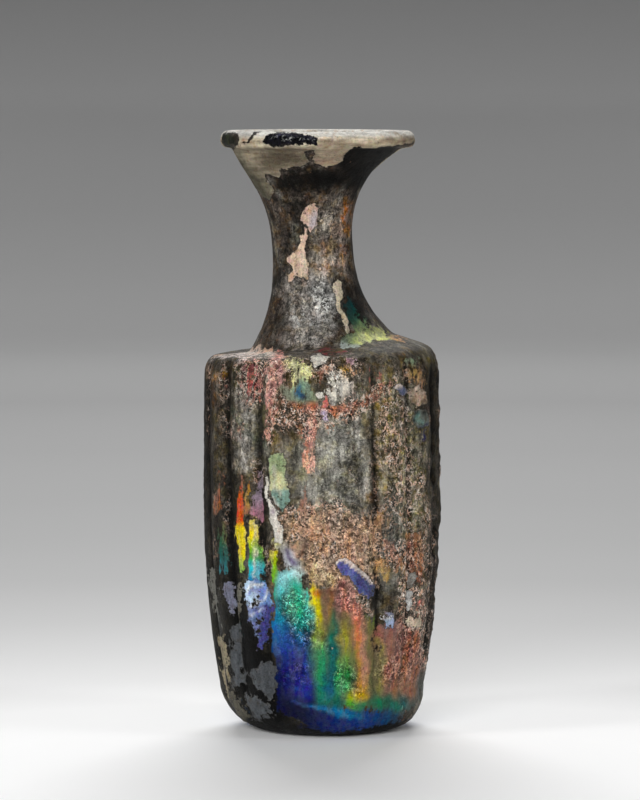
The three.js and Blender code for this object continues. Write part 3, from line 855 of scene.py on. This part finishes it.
FLAKES = [
    (PEACH,
     [(-2.8, 113.5), (-1.6, 113.7), (-0.8, 112.6), (-1, 110.7), (-1.3, 109), (-2.2, 107.3), (-3.1, 108.8),
      (-4.6, 110), (-4.3, 111.5), (-3.7, 112.4)]),
    (PEACH, [(-3.9, 108.5), (-3.1, 108.5), (-3.3, 103), (-4, 103)]),
    ((222, 188, 158),
     [(-4.5, 106.6), (-3.5, 106.6), (-2.8, 99.1), (-2.6, 96.8), (-4.3, 97.2), (-5.4, 97.6), (-6.9, 96.4),
      (-7.2, 98), (-6.5, 99.1), (-7.3, 101.7), (-5.2, 103.2)]),
    (IVORY,
     [(2.6, 96.4), (3.6, 96.8), (4.6, 96.2), (4.4, 94.4), (4.2, 91.4), (5.8, 88), (5.4, 85.4),
      (4.4, 87.4), (3.2, 91.2), (2.6, 94.4)]),
    (IVORY, [(-0.3, 110), (1, 110.2), (2.4, 111.8), (1, 111), (0.2, 110.6)]),
    (CHALK, [(-2.6, 80.2), (-0.5, 81), (1.7, 80.3), (0.5, 78.6), (-1.7, 77.8)]),
    (CHALK, [(-1.6, 72.6), (0, 72.6), (0.2, 71.4), (-1.2, 71.2)]),
    ((224, 108, 78), [(0.8, 72), (2.1, 69.2), (-0.3, 69)]),
    ((150, 168, 116), [(-11.6, 58.8), (-8.4, 59.4), (-7.5, 56), (-7.4, 54), (-11.6, 54)]),
    ((186, 190, 140), [(-11.7, 56.2), (-7.6, 56.2), (-7.2, 51), (-11.2, 51)]),
    ((122, 158, 144), [(-11.2, 52), (-7.4, 52), (-7, 48.6), (-8.4, 46.9), (-10.6, 47.9)]),
    ((222, 216, 203),
     [(-12.4, 54.2), (-11.9, 54.4), (-11.6, 50.6), (-10.9, 48.2), (-9.4, 46.6), (-9.3, 44.6),
      (-8.2, 42.4), (-8.2, 39.6), (-10, 39.9), (-10.9, 43.6), (-11.6, 46), (-12.3, 49.8)]),
    ((176, 204, 232),
     [(-16.6, 30.2), (-15.9, 31.6), (-14.2, 31), (-13, 29.6), (-13.8, 27.9), (-15, 26.4), (-16.3, 27.2)]),
    ((92, 140, 208),
     [(-14.4, 32), (-12.6, 31.3), (-11.2, 28.4), (-11.5, 26.6), (-13.2, 26.6), (-14, 28.4)]),
    ((104, 124, 184),
     [(-15.8, 26.2), (-14.4, 26.9), (-12.8, 25.4), (-13.3, 22.8), (-14.2, 19.2), (-15.2, 22)]),
    ((40, 42, 132),
     [(-12.6, 26.2), (-10.9, 25.8), (-11.3, 21.6), (-12.4, 18), (-14, 17.2), (-13.2, 21.4)]),
    # Painted highlight: a pale pink-white line along the upper edge of the royal blue flake below.
    ((244, 226, 216),
     [(2.5, 34.4), (3.6, 36.3), (5.6, 36.3), (9.8, 33.3), (11.2, 31.4), (10.4, 30.8), (9.3, 32.2),
      (5.7, 35), (3.9, 35.4)]),
    ((78, 88, 170),
     [(3, 34.7), (4, 35.8), (5.7, 35.3), (9.3, 32.3), (11.3, 30.4), (11.3, 28.2), (9.3, 28.4),
      (5.8, 32.3), (3.7, 32.9)]),
    (SLATE,
     [(-16.3, 11.3), (-14.6, 12), (-13.4, 13.8), (-11.6, 13.4), (-9.8, 12.3), (-10, 8.4), (-11.6, 6.2),
      (-14.2, 8.4), (-14.5, 10.2)]),
    (SLATE,
     [(-16.6, 6.6), (-14.2, 6.2), (-11.6, 4.6), (-9.8, 2.2), (-12, 2.4), (-14.5, 1.5), (-15.4, 4)]),
    (SLATE, [(-19.9, 21.7), (-18.1, 22.4), (-17.8, 12.3), (-16.7, 8.7), (-18.9, 8.7), (-19.9, 15.2)]),
    ((146, 134, 104), [(-22.8, 19.5), (-21, 19.9), (-20, 8.7), (-20.3, 6), (-21.7, 10.2)]),
    ((112, 114, 136), [(-21.4, 31.1), (-20.3, 31.4), (-18.9, 26), (-19.9, 24.2), (-20.8, 27.5)]),
    ((112, 112, 104), [(-24.8, 34.3), (-23.2, 34), (-22.1, 21.7), (-23.9, 27.5)]),
    ((92, 88, 74), [(-20.4, 7.4), (-18.8, 7.8), (-17.6, 4.6), (-15.9, 2.2), (-16.6, 0.8), (-18.5, 3)]),
    ((110, 108, 96), [(-18.6, 31), (-17.6, 31), (-17.2, 25), (-18.2, 23)]),
    ((96, 104, 132), [(15.7, 73.4), (17.2, 74.3), (19.2, 73), (18.6, 71.6), (17.4, 72)]),
    ((172, 144, 114), [(19, 73.4), (21.2, 73.8), (22.6, 72.8), (22.9, 70.4), (21.2, 69.2), (19.8, 70.4)]),
    ((104, 112, 104), [(20.2, 68.8), (22.9, 68.8), (22.9, 65.4), (21.4, 64.8), (19.8, 66.4)]),
    ((216, 206, 190), [(17.2, 71.2), (18.2, 71.3), (19.6, 69.2), (19.2, 68.6)]),
    ((206, 204, 200), [(18.6, 29.4), (19.6, 29.6), (20.1, 26.2), (19.2, 25.6)]),
    ((226, 206, 176), [(18.7, 23.6), (20.2, 24), (21.4, 22.6), (20.2, 21.3), (18.8, 21.8)]),
    # Painted highlight: a white arc on the small blue-grey ring.
    ((214, 214, 220), [(13.6, 23.4), (14.6, 24.6), (15.8, 24.2), (15.4, 23.6), (14.2, 23)]),
    ((150, 170, 206), [(13.9, 22.9), (15.3, 23.4), (15.6, 21.8), (14.4, 21.2)]),
    ((150, 146, 138), [(19.2, 33.4), (20.3, 33.8), (20.5, 30.6), (19.4, 30.2)]),
    (IVORY, [(2.3, 17.4), (3.2, 17.8), (3.2, 16.4), (2.5, 16.2)]),
]

cream = island(CREAM_SCALE)
for bare in (NOTCH, LIP_BARE_LEFT, LIP_BARE_MIDDLE):
    cream = np.minimum(cream, -island(bare, 0.25))
LIP_CRACK = [(-12.9, 129.5, 0.25), (-14.4, 129.1, 0.25), (-15.7, 127.1, 0.3), (-17.2, 126.8, 0.3)]
cream = np.minimum(cream, -stroke(LIP_CRACK, 0.2)[0])
around_mouth = ramped(HEIGHT, *MOUTH_SCALE) * 3.5 + 2.5 * crumpled(smooth_points, (5, 5, 4), 51) - 1.6
crest = ramped(HEIGHT, *LIP_CREST)
on_lip = 2 + 2 * crest + 3 * crumpled(smooth_points, 5, 52)
around_mouth = np.where(HEIGHT > FUNNEL_TOP, on_lip, around_mouth)
flake = mix(around_mouth, cream, front)
inside_flakes = 3 * crumpled(smooth_points, 5.0, 53) - 0.4
flake = np.where(is_outside[ROW] | (HEIGHT > INSIDE_SCALE_ABOVE), flake, inside_flakes)
flake = np.where(HEIGHT < SCALE_ENDS, -3, flake)
SCALE_STROKES = [
    # Painted shade: darker scale under the lip and down the funnel's left side.
    ((106, 94, 74), 2, 1, [(-10, 124, 4), (-3, 124, 2)]),
    ((72, 70, 54), 2, 1, [(-20, 125, 1.4), (-14, 118, 2), (-11.6, 115, 1.4)]),
    ([(126, 116, 96), (150, 136, 112)], 0.8, 0.8, [(-18, 125.4, 0.5), (-4, 125.2, 0.5)]),
    ((188, 166, 136), 0.8, 1, [(0.6, 124, 1.9), (3.2, 124.4, 1.8)]),
    ((176, 138, 106), 0.5, 0.8, [(-1.2, 122.6, 0.5), (2.6, 121.8, 0.5)]),
    ([(196, 180, 150), (252, 234, 196), (246, 226, 188)], 0.5, 1,
     [(-17, 127.6, 1.8), (2, 128, 1.8), (18, 128.2, 1.9)]),
    ((176, 136, 104), 0.5, 0.85, [(-16.6, 127.4, 0.8)]),
    ([(160, 138, 106), (150, 126, 96)], 0.4, 0.9, [(-2, 126.7, 0.5), (18, 127, 0.6)]),
    ([(150, 128, 100), (96, 80, 60)], 0.8, 0.85, [(16.6, 128, 0.8), (19.8, 127.6, 1.2)]),
    # Painted highlight: a near-white line along the top of the lip.
    ((255, 254, 248), 0.4, 1, [(-20, 130.3, 0.8), (19.4, 130.5, 0.8)]),
]
# Painted shade: the scale darkens down the funnel, below the lip.
shade = ramped(HEIGHT, *FUNNEL_SHADE)
flake_ink = ink((206, 190, 156)) * mix(0.5, 1.0, shade)[..., None]
flake_ink = mix(flake_ink, brushed(SCALE_STROKES, flake_ink, np.ones(AZ.shape))[0], front[..., None])
# Painted highlight: the top of the lip, all round, near white.
flake_ink = laid(flake_ink, (252, 249, 240), 0.9 * crest)
for colour, corners in FLAKES:
    inside = np.where(facing > 0, island(corners), -5)
    flake_ink = np.where((inside > -0.9)[..., None] & (inside > flake)[..., None], ink(colour), flake_ink)
    flake = np.maximum(flake, inside)
FLAKE_STROKES = [
    (BLACK, 0.4, 1, [(18.4, 71, 0.5), (19.4, 69.4, 0.5), (20.6, 67.8, 0.4), (20, 66.4, 0.6)]),
    ((236, 220, 204), 0.3, 1, [(16.4, 73.4, 0.5), (17.6, 73.6, 0.4)]),
    ((226, 206, 186), 0.3, 0.9,
     [(19.4, 71.8, 0.3), (20.6, 73, 0.4), (22, 72.4, 0.3), (21.6, 70.8, 0.3), (20.6, 71, 0.2)]),
    ([(206, 176, 150), (190, 150, 120), (214, 190, 168)], 0.4, 0.9,
     [(19.8, 72.4, 0.5), (21.6, 71.6, 0.7), (20.4, 70.4, 0.3)]),
    (BLACK, 0.3, 0.9, [(22.6, 70.8, 0.3), (22.4, 68.4, 0.3)]),
    ((120, 170, 160), 0.4, 0.8, [(20.8, 67.6, 0.4), (21.4, 66.4, 0.4)]),
    ((84, 90, 130), 0.5, 0.9, [(17.6, 72.8, 0.4), (18.6, 72.2, 0.5)]),
    ((40, 44, 84), 0.4, 0.95, [(21.8, 65, 0.6)]),
    ([(66, 80, 130), (80, 96, 120)], 0.8, 0.7, [(9, 31.4, 0.7), (10.8, 29.4, 0.9)]),
    (CHALK, 0.2, 0.6, [(-12.4, 53, 0.3), (-9.4, 44.6, 0.5)]),
    ((250, 240, 226), 0.5, 0.9, [(-9.4, 44.6, 0.7), (-9, 41.6, 0.6)]),
    ((190, 150, 150), 0.5, 0.7, [(-11.2, 48.6, 0.4)]),
    ((90, 116, 190), 0.3, 0.9, [(-15.6, 28.6, 0.2), (-14.2, 29.8, 0.3), (-13.4, 28.6, 0.2)]),
    ((70, 92, 180), 0.4, 0.9, [(-14.8, 26.6, 0.3), (-13.2, 24.4, 0.4), (-13.8, 22.4, 0.2)]),
    ((236, 240, 238), 0.2, 0.9, [(-16, 28.8, 0.2), (-14.9, 30.4, 0.3), (-13.6, 30.8, 0.2)]),
    ((230, 234, 236), 0.2, 0.9, [(-12.4, 30.2, 0.2), (-13.4, 27.4, 0.2), (-15.2, 26.2, 0.3)]),
    ((206, 212, 226), 0.25, 0.9, [(-14.8, 24.6, 0.3), (-13.6, 25.4, 0.2)]),
    (BLACK, 0.3, 0.8, [(-14.8, 22.8, 0.15), (-13.6, 23.8, 0.2)]),
    ((226, 220, 150), 0.6, 0.7, [(-9, 53.6, 0.8), (-8.6, 51.8, 0.6)]),
    ((220, 216, 190), 0.4, 0.7, [(-10.2, 56.4, 0.4), (-9.6, 50.4, 0.3)]),
    ((190, 186, 200), 0.5, 0.7, [(-2, 111.4, 0.9), (-2.2, 109.4, 0.7)]),
    ((236, 214, 186), 0.4, 0.7, [(-3.4, 103, 0.4), (-3.4, 98, 0.5)]),
    ((100, 60, 110), 0.4, 0.8, [(-11.2, 46.8, 0.4), (-10.4, 46.2, 0.3)]),
]
flake_ink = mix(flake_ink, brushed(FLAKE_STROKES, flake_ink, np.ones(AZ.shape))[0], front[..., None])
far_flakes = 4 * (crumpled(smooth_points, (5, 5, 8), 61) - 0.42) * (1 - front) * body
far_body = (front < 0.5) & (HEIGHT < FAR_FLAKES_BELOW) & is_outside[ROW]
far_flakes = np.where(far_body, far_flakes * 1.5 - 0.2, -5)
far_ink = mix(ink(SLATE), ink(IVORY), ramped(HEIGHT, *FAR_FLAKES_PALE)[..., None])
flake_ink = np.where((far_flakes > flake)[..., None], far_ink, flake_ink)
flake = np.maximum(flake, far_flakes)

# Where foil lies, crinkled and metallic, and where the finish paints glints on it. Strokes with a strength
# below zero take it away.
NECK_FOIL_TOP = 118
glitter = 0.16 * body + 0.15 * on_neck * ramped(NECK_FOIL_TOP - HEIGHT, 0, 8)
glitter = glitter + 0.3 * ramped(patchy, 0.05, 0.5) * body
glitter = glitter + (0.6 * copper_ring + 0.3 * cover) * (1 - front) * body
GLITTER_STROKES = [
    (2, 0.75, [(-6.5, 43.6, 3), (2, 44, 5), (8, 40, 5), (0, 36, 4)]),
    (1.2, 0.5, [(-8.6, 67, 3), (-3, 66.5, 2.5), (3, 67.5, 2), (9, 70, 2), (14, 74, 1)]),
    (0.6, 0.6,
     [(-9, 71, 0.7), (-3, 68, 1), (3.9, 67.8, 1), (9.6, 69.8, 0.9), (14.7, 74, 0.5), (16.4, 75, 0.5)]),
    (1.5, 0.6, [(3, 31, 2), (8, 25.5, 2.4), (9, 34, 2)]),
    (0.8, 0.55, [(-9.8, 78, 1.4), (-10.8, 70, 1.2), (-11.2, 61, 0.8)]),
    (0.8, 0.4, [(-2.8, 66, 1), (-3, 56, 1)]),
    (1.5, 0.5, [(-16, 78, 3), (-15.6, 72, 2.5)]),
    (2, 0.65, [(15, 37, 3), (20, 38, 3), (20, 14, 3), (15, 12, 3)]),
    (3, 0.3, [(15, 70, 3), (18, 60, 4), (20, 46, 4)]),
    (1.2, 0.5, [(-6, 26, 3.4), (-4, 21, 3)]),
    (1.2, 0.35, [(-4.4, 11.6, 2.2)]),
    (1.2, 0.5, [(5, 11, 2), (6.4, 8, 2)]),
    (0.5, 0.45, [(-11, 127.8, 0.8), (-2, 127.8, 0.8)]),
    (1.5, 0.9, [(-0.4, 96, 1.2), (0.4, 92.6, 1.6)]),
    (2.5, 0.3, [(3, 90, 1.4), (-4, 89, 3)]),
    (1.5, 0.5, [(-12, 79, 2), (6, 78, 3)]),
    (2.5, -0.6, [(-9, 2, 6), (8, 1, 5)]),
    (2.5, -0.6, [(-20, 30, 5), (-15, 8, 6)]),
    (2, -0.1, [(6, 58, 3), (5, 52, 3)]),
    (1, 0.2, [(6, 64, 1), (11, 70, 1.6), (7, 66.6, 1.4)]),
    (0.8, 0.35, [(6.4, 55.4, 0.8), (7.4, 52.4, 0.8)]),
    (1, 0.35, [(13, 66, 1), (15.8, 62, 1.4), (15.4, 58, 1.4)]),
    (0.8, 0.5, [(21.8, 54, 0.8), (21.4, 51, 0.8)]),
]
glitter = np.clip(glitter + dabbed(GLITTER_STROKES), 0, 1)

# Skins of decay that shine like metal: strongest low at the front.
skin = np.clip(0.15 * body + 0.45 * cover + dabbed([(3, 0.5, [(-9, 28, 6), (-4, 14, 7), (8, 8, 6)])]), 0, 1)

# Where the crust is dark with pits: varying across the crust, fewer low at the front, more towards the
# left, in the grooves and on the neck.
DARKER_LEFT = (11, 20)
soot = 0.35 + 0.3 * ramped(drift, -0.2, 0.5)
soot = soot * (1 - dabbed([(2, 0.9, [(-8, 24, 4), (-4, 12, 6), (6, 10, 5), (9, 20, 2)])]))
soot = soot + 0.45 * ramped(-across, *DARKER_LEFT) * front * body
soot = np.clip(soot + 0.35 * ramped(groove, 0.3, 0.8) + 0.45 * on_neck, 0, 1)

# Where the glass is still smooth: on the black of the lower left, the base, the lip and the lower front.
GLOSS_STROKES = [
    (2, 0.8, [(-20, 26, 4), (-15, 10, 6), (-6, 2, 4), (8, 1.5, 3)]),
    (1, 0.8, [(-12, 127.4, 1.2), (-2, 127.4, 1.2)]),
    (2, 0.6, [(-7, 30, 3), (-4, 14, 6), (7, 8, 5)]),
    (1, 0.8, [(-17.3, 46, 1.4), (-17, 36, 1.2)]),
    (1, 0.8, [(-14.6, 42, 1.2), (-14.2, 32, 1.2)]),
]
SMOOTH_HEEL_TOP = 6
gloss = 0.5 * skin + dabbed(GLOSS_STROKES)
gloss = np.clip(gloss + 0.5 * ramped(SMOOTH_HEEL_TOP - HEIGHT, 0, 3) * (1 - front), 0, 1)

# The glass's relief: blown unevenly, crusted where it glitters, and stepped up at each flake's edge.
CRUST_HEIGHT = 0.3
SIDE_CRUST_HEIGHT = 0.7
FOIL_HEIGHT = 0.2
FLAKE_HEIGHT = 0.2
WOBBLE = 0.25
INSIDE_SHARE = 0.5
COARSE_SIDE = (10, 24)
CRUSTED_SIDE = (13, 24)
STANDING_EDGE = 1.2
LIP_CALM = (1.2, 2.4)
relief = WOBBLE * lumps(smooth_points, (17, 17, 24), 71)
coarse = ramped(across, *COARSE_SIDE) * body * 0.8 + 0.35
relief = relief + CRUST_HEIGHT * coarse * crumpled(smooth_points, 2.4, 73)
side_crust = ramped(across, *CRUSTED_SIDE) * body * crumpled(smooth_points, 3.4, 79)
relief = relief + SIDE_CRUST_HEIGHT * side_crust
relief = relief + FOIL_HEIGHT * glitter * (1 - 2 * np.abs(lumps(smooth_points, 0.9, 77)))
relief = relief + FLAKE_HEIGHT * ramped(flake, -0.2, 0.3)
calm = ramped(HEIGHT, 0, STANDING_EDGE) * is_dressed[ROW]
relief = relief * np.where(is_outside[ROW], calm, INSIDE_SHARE)
relief = relief - GROOVE_DEPTH * groove
top_limit = 1 - ramped(HEIGHT - FUNNEL_TOP, *LIP_CALM) * 0.8
relief = relief * top_limit
points = stand(RADIUS + relief * normal_rows[ROW, 0], HEIGHT + relief * normal_rows[ROW, 1])

MM_PER_METRE = 1000


def bottle_mesh():
    """Quads between each row of points and the next, and a fan of triangles at each of the two middles."""
    ring_points = points[1:-1].reshape(-1, 3)
    ring_count = len(rows) - 2
    vertices = np.vstack([points[:1, 0], ring_points, points[-1:, 0]]) / MM_PER_METRE
    row, column = np.mgrid[0:ring_count - 1, 0:COLUMNS]
    beside = (column + 1) % COLUMNS
    low = 1 + row * COLUMNS
    high = low + COLUMNS
    quads = np.stack([low + column, low + beside, high + beside, high + column], axis=-1).reshape(-1, 4)
    middle = np.arange(COLUMNS)
    after = (middle + 1) % COLUMNS
    start = np.stack([np.zeros_like(middle), 1 + after, 1 + middle], axis=-1)
    top = 1 + (ring_count - 1) * COLUMNS
    end = np.stack([np.full_like(middle, len(vertices) - 1), top + middle, top + after], axis=-1)
    mesh = bpy.data.meshes.new("weathered_bottle")
    mesh.from_pydata(vertices.tolist(), [], start.tolist() + quads.tolist() + end.tolist())
    mesh.shade_smooth()
    return mesh


def keep(mesh, name, values):
    """Stores a number or a colour for each point of the mesh, for the material to read."""
    flat = np.concatenate([values[:1, 0], values[1:-1].reshape(-1, *values.shape[2:]), values[-1:, 0]])
    if values.ndim == 3:
        attribute = mesh.attributes.new(name, "FLOAT_COLOR", "POINT")
        flat = np.hstack([flat, np.ones((len(flat), 1))])
        attribute.data.foreach_set("color", flat.astype(np.float32).ravel())
    else:
        attribute = mesh.attributes.new(name, "FLOAT", "POINT")
        attribute.data.foreach_set("value", flat.astype(np.float32))


mesh = bottle_mesh()
for name, values in {"wash": np.clip(wash, 0, 1), "flake_ink": np.clip(flake_ink, 0, 1), "flake": flake,
                     "paint": np.clip(paint, 0, 1), "cover": cover, "glitter": glitter, "skin": skin,
                     "soot": soot, "gloss": gloss}.items():
    keep(mesh, name, values)


# The finish. The heights where it changes are in millimetres, and its own tones are in linear light.
SILVER_FOIL_FROM = (81, 84)
FUNNEL_SCALE_FROM = (112, 120)
RAGGED_FLAKES_BELOW = (36, 30)
GRIME = (0.005, 0.005, 0.004, 1)
COPPER_GLINT = (0.9, 0.5, 0.32, 1)
PEACH_GLINT = (1, 0.9, 0.8, 1)
SILVER_GLINT = (0.9, 0.9, 0.86, 1)
SCALE_STAIN = (0.7, 0.5, 0.33, 1)
SCALE_RIM = (0.95, 0.9, 0.8, 1)
SCALE_SHADOW = (0.01, 0.009, 0.008, 1)


def weathered_glass():
    """The glass's finish, from below up: crust, mottled by noise at the size of its grains and flecked with
    painted glints; skins of colour, torn where a noise outweighs their cover; foil, which is cells of
    random tilt, each painted lighter or darker at random as a lit or shaded facet, with painted glints on
    some cells and along winding curls; and flakes, wherever the distance inside their outline is above
    zero, with a painted shadow just outside their edge."""
    material, shader, start = new_material("weathered_glass")
    place = start.node("TexCoord", output=3)

    def scaled_place(x, y, z, turn=0):
        return start.node("Mapping", None, {0: place, 2: (0, turn, 0), 3: (x, y, z)})

    def read(name, output=2):
        return start.node("Attribute", {"attribute_name": name}, None, output)

    def noise(at, scale, detail=3, roughness=0.6, output=0):
        return start.node("TexNoise", None, {0: at, 2: scale, 3: detail, 4: roughness}, output)

    def folds(at, scale, detail, roughness):
        """Noise folded at its middle, so that it is 1 along winding lines."""
        return 1 - abs(noise(at, scale, detail, roughness) * 2 - 1)

    def shifted(colour, hue, saturation, value):
        """A colour with its saturation and value scaled, and its hue turned where hue isn't a half."""
        inputs = {"Hue": hue, "Saturation": saturation, "Value": value, "Color": colour}
        return start.node("HueSaturation", None, inputs)

    mm = scaled_place(MM_PER_METRE, MM_PER_METRE, MM_PER_METRE)
    upright_grain = scaled_place(MM_PER_METRE, MM_PER_METRE, 160)
    round_grain = scaled_place(200, 200, 1500)
    height = mm.node("SeparateXYZ", None, {0: mm}, 2)
    foil = read("glitter")
    dirt = read("soot")
    smooth = read("gloss")
    jitter = noise(mm, 1.3, 2, 0.6, 1)
    bent = jitter.vector("MULTIPLY_ADD", {1: (0.8, 0.8, 0.8), 2: mm})
    curly = jitter.vector("MULTIPLY_ADD", {1: (1.8, 1.8, 1.8), 2: mm})

    grains = noise(bent, 1.5, 5, 0.78)
    fine = noise(mm, 3.2, 2)
    streaks = noise(upright_grain, 0.6, 4, 0.65)
    clouds = noise(mm, 0.28)
    mottle = grains.rise(0.37, 0.65)
    runs = streaks.rise(0.4, 0.62)

    cells = start.node("TexVoronoi", None, {0: curly, 2: 1.4}, 1)
    facet = start.node("SeparateColor", None, {0: cells})
    facet_ink = facet.beside(1)
    small_cells = start.node("TexVoronoi", None, {0: bent, 2: 3.4}, 1)
    small_facet = start.node("SeparateColor", None, {0: small_cells})
    lean = cells.vector("SUBTRACT", {1: (0.5, 0.5, 0.5)})
    off_centre = curly.vector("SUBTRACT", {1: cells.beside(2)})
    tilt = lean.vector("DOT_PRODUCT", {1: off_centre}, 1)

    tone = 0.12 + 0.85 * mottle + 0.65 * runs + 0.6 * fine.rise(0.48, 0.68) * mottle
    # Painted glints: bright specks where the small cells are brightest.
    tone = tone * (0.7 + 0.6 * clouds.rise(0.42, 0.6)) + 0.9 * small_facet.rise(0.93, 0.97) * mottle
    scratches = folds(scaled_place(1400, 1400, 160, turn=0.7), 0.9, 2, 0.6).rise(0.95, 1)
    tone = tone + 0.9 * scratches * clouds.rise(0.45, 0.55)
    crust_hue = 0.5 + (noise(bent, 0.5, 4, 0.7) - 0.5) * 0.14
    crust_saturation = 0.75 + 0.8 * noise(mm, 0.45, 3, 0.7).rise(0.45, 0.62)
    crust = shifted(read("wash", 0), crust_hue, crust_saturation, tone)
    pits = noise(bent, 0.9, 4, 0.75).rise(0.53, 0.61) * dirt
    pits = pits.maths("MAXIMUM", pits, noise(bent, 2.4, 3, 0.7).rise(0.55, 0.62) * dirt)
    crust = (pits * 0.85).over(crust, GRIME)

    tear = noise(upright_grain, 1.1, 3, 0.7) * 0.5 + noise(bent, 1.3, 4, 0.75) * 0.5
    covers = (read("cover") - 0.5 + (tear - 0.5) * 3.2).rise(-0.12, 0.12)
    paint_hue = 0.5 + (noise(bent, 0.8) - 0.5) * 0.1
    paint_tone = 0.42 + 0.5 * mottle + 0.34 * runs + 0.3 * fine.rise(0.45, 0.65)
    painted = shifted(read("paint", 0), paint_hue, 0.85 + 0.3 * runs, mix(paint_tone, 0.98, smooth * 0.6))
    colour = (covers * 0.9).over(crust, painted)

    swarm = noise(mm, 0.7, 2).rise(0.4, 0.58)
    broken = noise(mm, 1.2, 2)
    fold = folds(bent, 0.8, 1.5, 0.6)
    fine_fold = folds(bent, 1.7, 1, 0.5)
    bright = foil * (0.25 + 0.75 * swarm)
    # Painted glints: bright lines along winding curls, and cells that glint, where the foil is.
    curls = fold.rise(0.89, 0.97) * broken.rise(0.46, 0.54)
    fine_curls = fine_fold.rise(0.89, 0.97) * (1 - broken).rise(0.46, 0.54)
    lines = curls.maths("MAXIMUM", curls, fine_curls) * bright.rise(0.1, 0.55)
    lit = (small_facet + bright * 0.3).rise(1.08, 1.16)
    plates = (facet + bright * 0.36).rise(1.08, 1.16) * 0.8
    painted_glints = lit.maths("MAXIMUM", lit, plates)
    painted_glints = painted_glints.maths("MAXIMUM", painted_glints, lines)
    # Painted light and shade: each foil facet lighter or darker at random, as if lit or shaded.
    painted_facet_shading = (0.15 + 1.6 * facet ** 1.7) * (0.5 + 0.7 * fine_fold.rise(0.5, 0.9))
    colour = colour.scaled(mix(1, painted_facet_shading, foil * 0.9))
    # The painted glints' colours: copper, peach, silver on the neck, and the skin's own colour brightened.
    glint = facet_ink.over(COPPER_GLINT, PEACH_GLINT)
    glint = height.rise(*SILVER_FOIL_FROM).over(glint, SILVER_GLINT)
    glint = (covers * (1 - facet_ink * 0.35)).over(glint, painted.scaled(2.2))
    colour = (painted_glints * (0.5 + 0.5 * foil.rise(0.25, 0.85))).over(colour, glint)

    low_down = height.rise(*RAGGED_FLAKES_BELOW)
    on_funnel = height.rise(*FUNNEL_SCALE_FROM)
    below_funnel = 1 - on_funnel
    edge = read("flake") + (noise(bent, 1.6, 4, 0.75) - 0.5) * (1.5 + 1.5 * low_down)
    edge = edge + (noise(mm, 0.45, 2) - 0.5) * (1.2 + 2.5 * low_down)
    holes = noise(bent, 1.7).rise(0.64, 0.68) * (1 - on_funnel * 0.6)
    covered = edge.rise(-0.03, 0.05) * (1 - holes)
    grain = noise(upright_grain, 0.8, 4, 0.65) * below_funnel + noise(round_grain, 0.8, 4, 0.65) * on_funnel
    scale_tone = 0.42 + 0.5 * grain.rise(0.3, 0.68) + 0.25 * mottle
    scale_tone = scale_tone + 0.3 * fine_fold.rise(0.8, 1) * below_funnel
    scale_hue = 0.5 + (noise(bent, 1) - 0.5) * 0.16
    scale_ink = shifted(read("flake_ink", 0), scale_hue, 0.5 + 0.7 * fine, scale_tone)
    stain = noise(mm, 0.6, 4, 0.7).rise(0.5, 0.7)
    scale_ink = (stain * 0.6).over(scale_ink, SCALE_STAIN, "MULTIPLY")
    rim_of_flake = 1 - edge.rise(0, 0.22)
    scale_ink = (rim_of_flake * 0.12).over(scale_ink, SCALE_RIM)
    # Painted shadow: the crust darkened just outside each flake's edge.
    colour = (edge.rise(-0.35, -0.05) * 0.6).over(colour, SCALE_SHADOW)
    colour = covered.over(colour, scale_ink)

    metal = (read("skin") * 0.6 * covers + foil * 0.55 * mottle + painted_glints * 0.3) * (1 - covered)
    rough = 0.5 + 0.15 * mottle - 0.22 * foil - 0.25 * smooth + covered * 0.12
    surface = covered * 0.14 + grains * 0.35 + streaks * 0.2 + fold * foil * 0.2
    surface = surface - pits * 0.08 + covers * 0.05 + tilt * foil.rise(0, 0.8) * 1.5
    bump = start.node("Bump", None, {"Strength": 1, "Distance": 0.001, "Height": surface})
    connect(shader, {
        "Base Color": colour,
        "Metallic": metal,
        "Roughness": rough,
        "Normal": bump,
        "Specular IOR Level": 0.06,
    })
    return material


mesh.materials.append(weathered_glass())
bottle = bpy.data.objects.new("weathered_bottle", mesh)
bpy.context.scene.collection.objects.link(bottle)
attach(bottle, "root")
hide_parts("bottle")
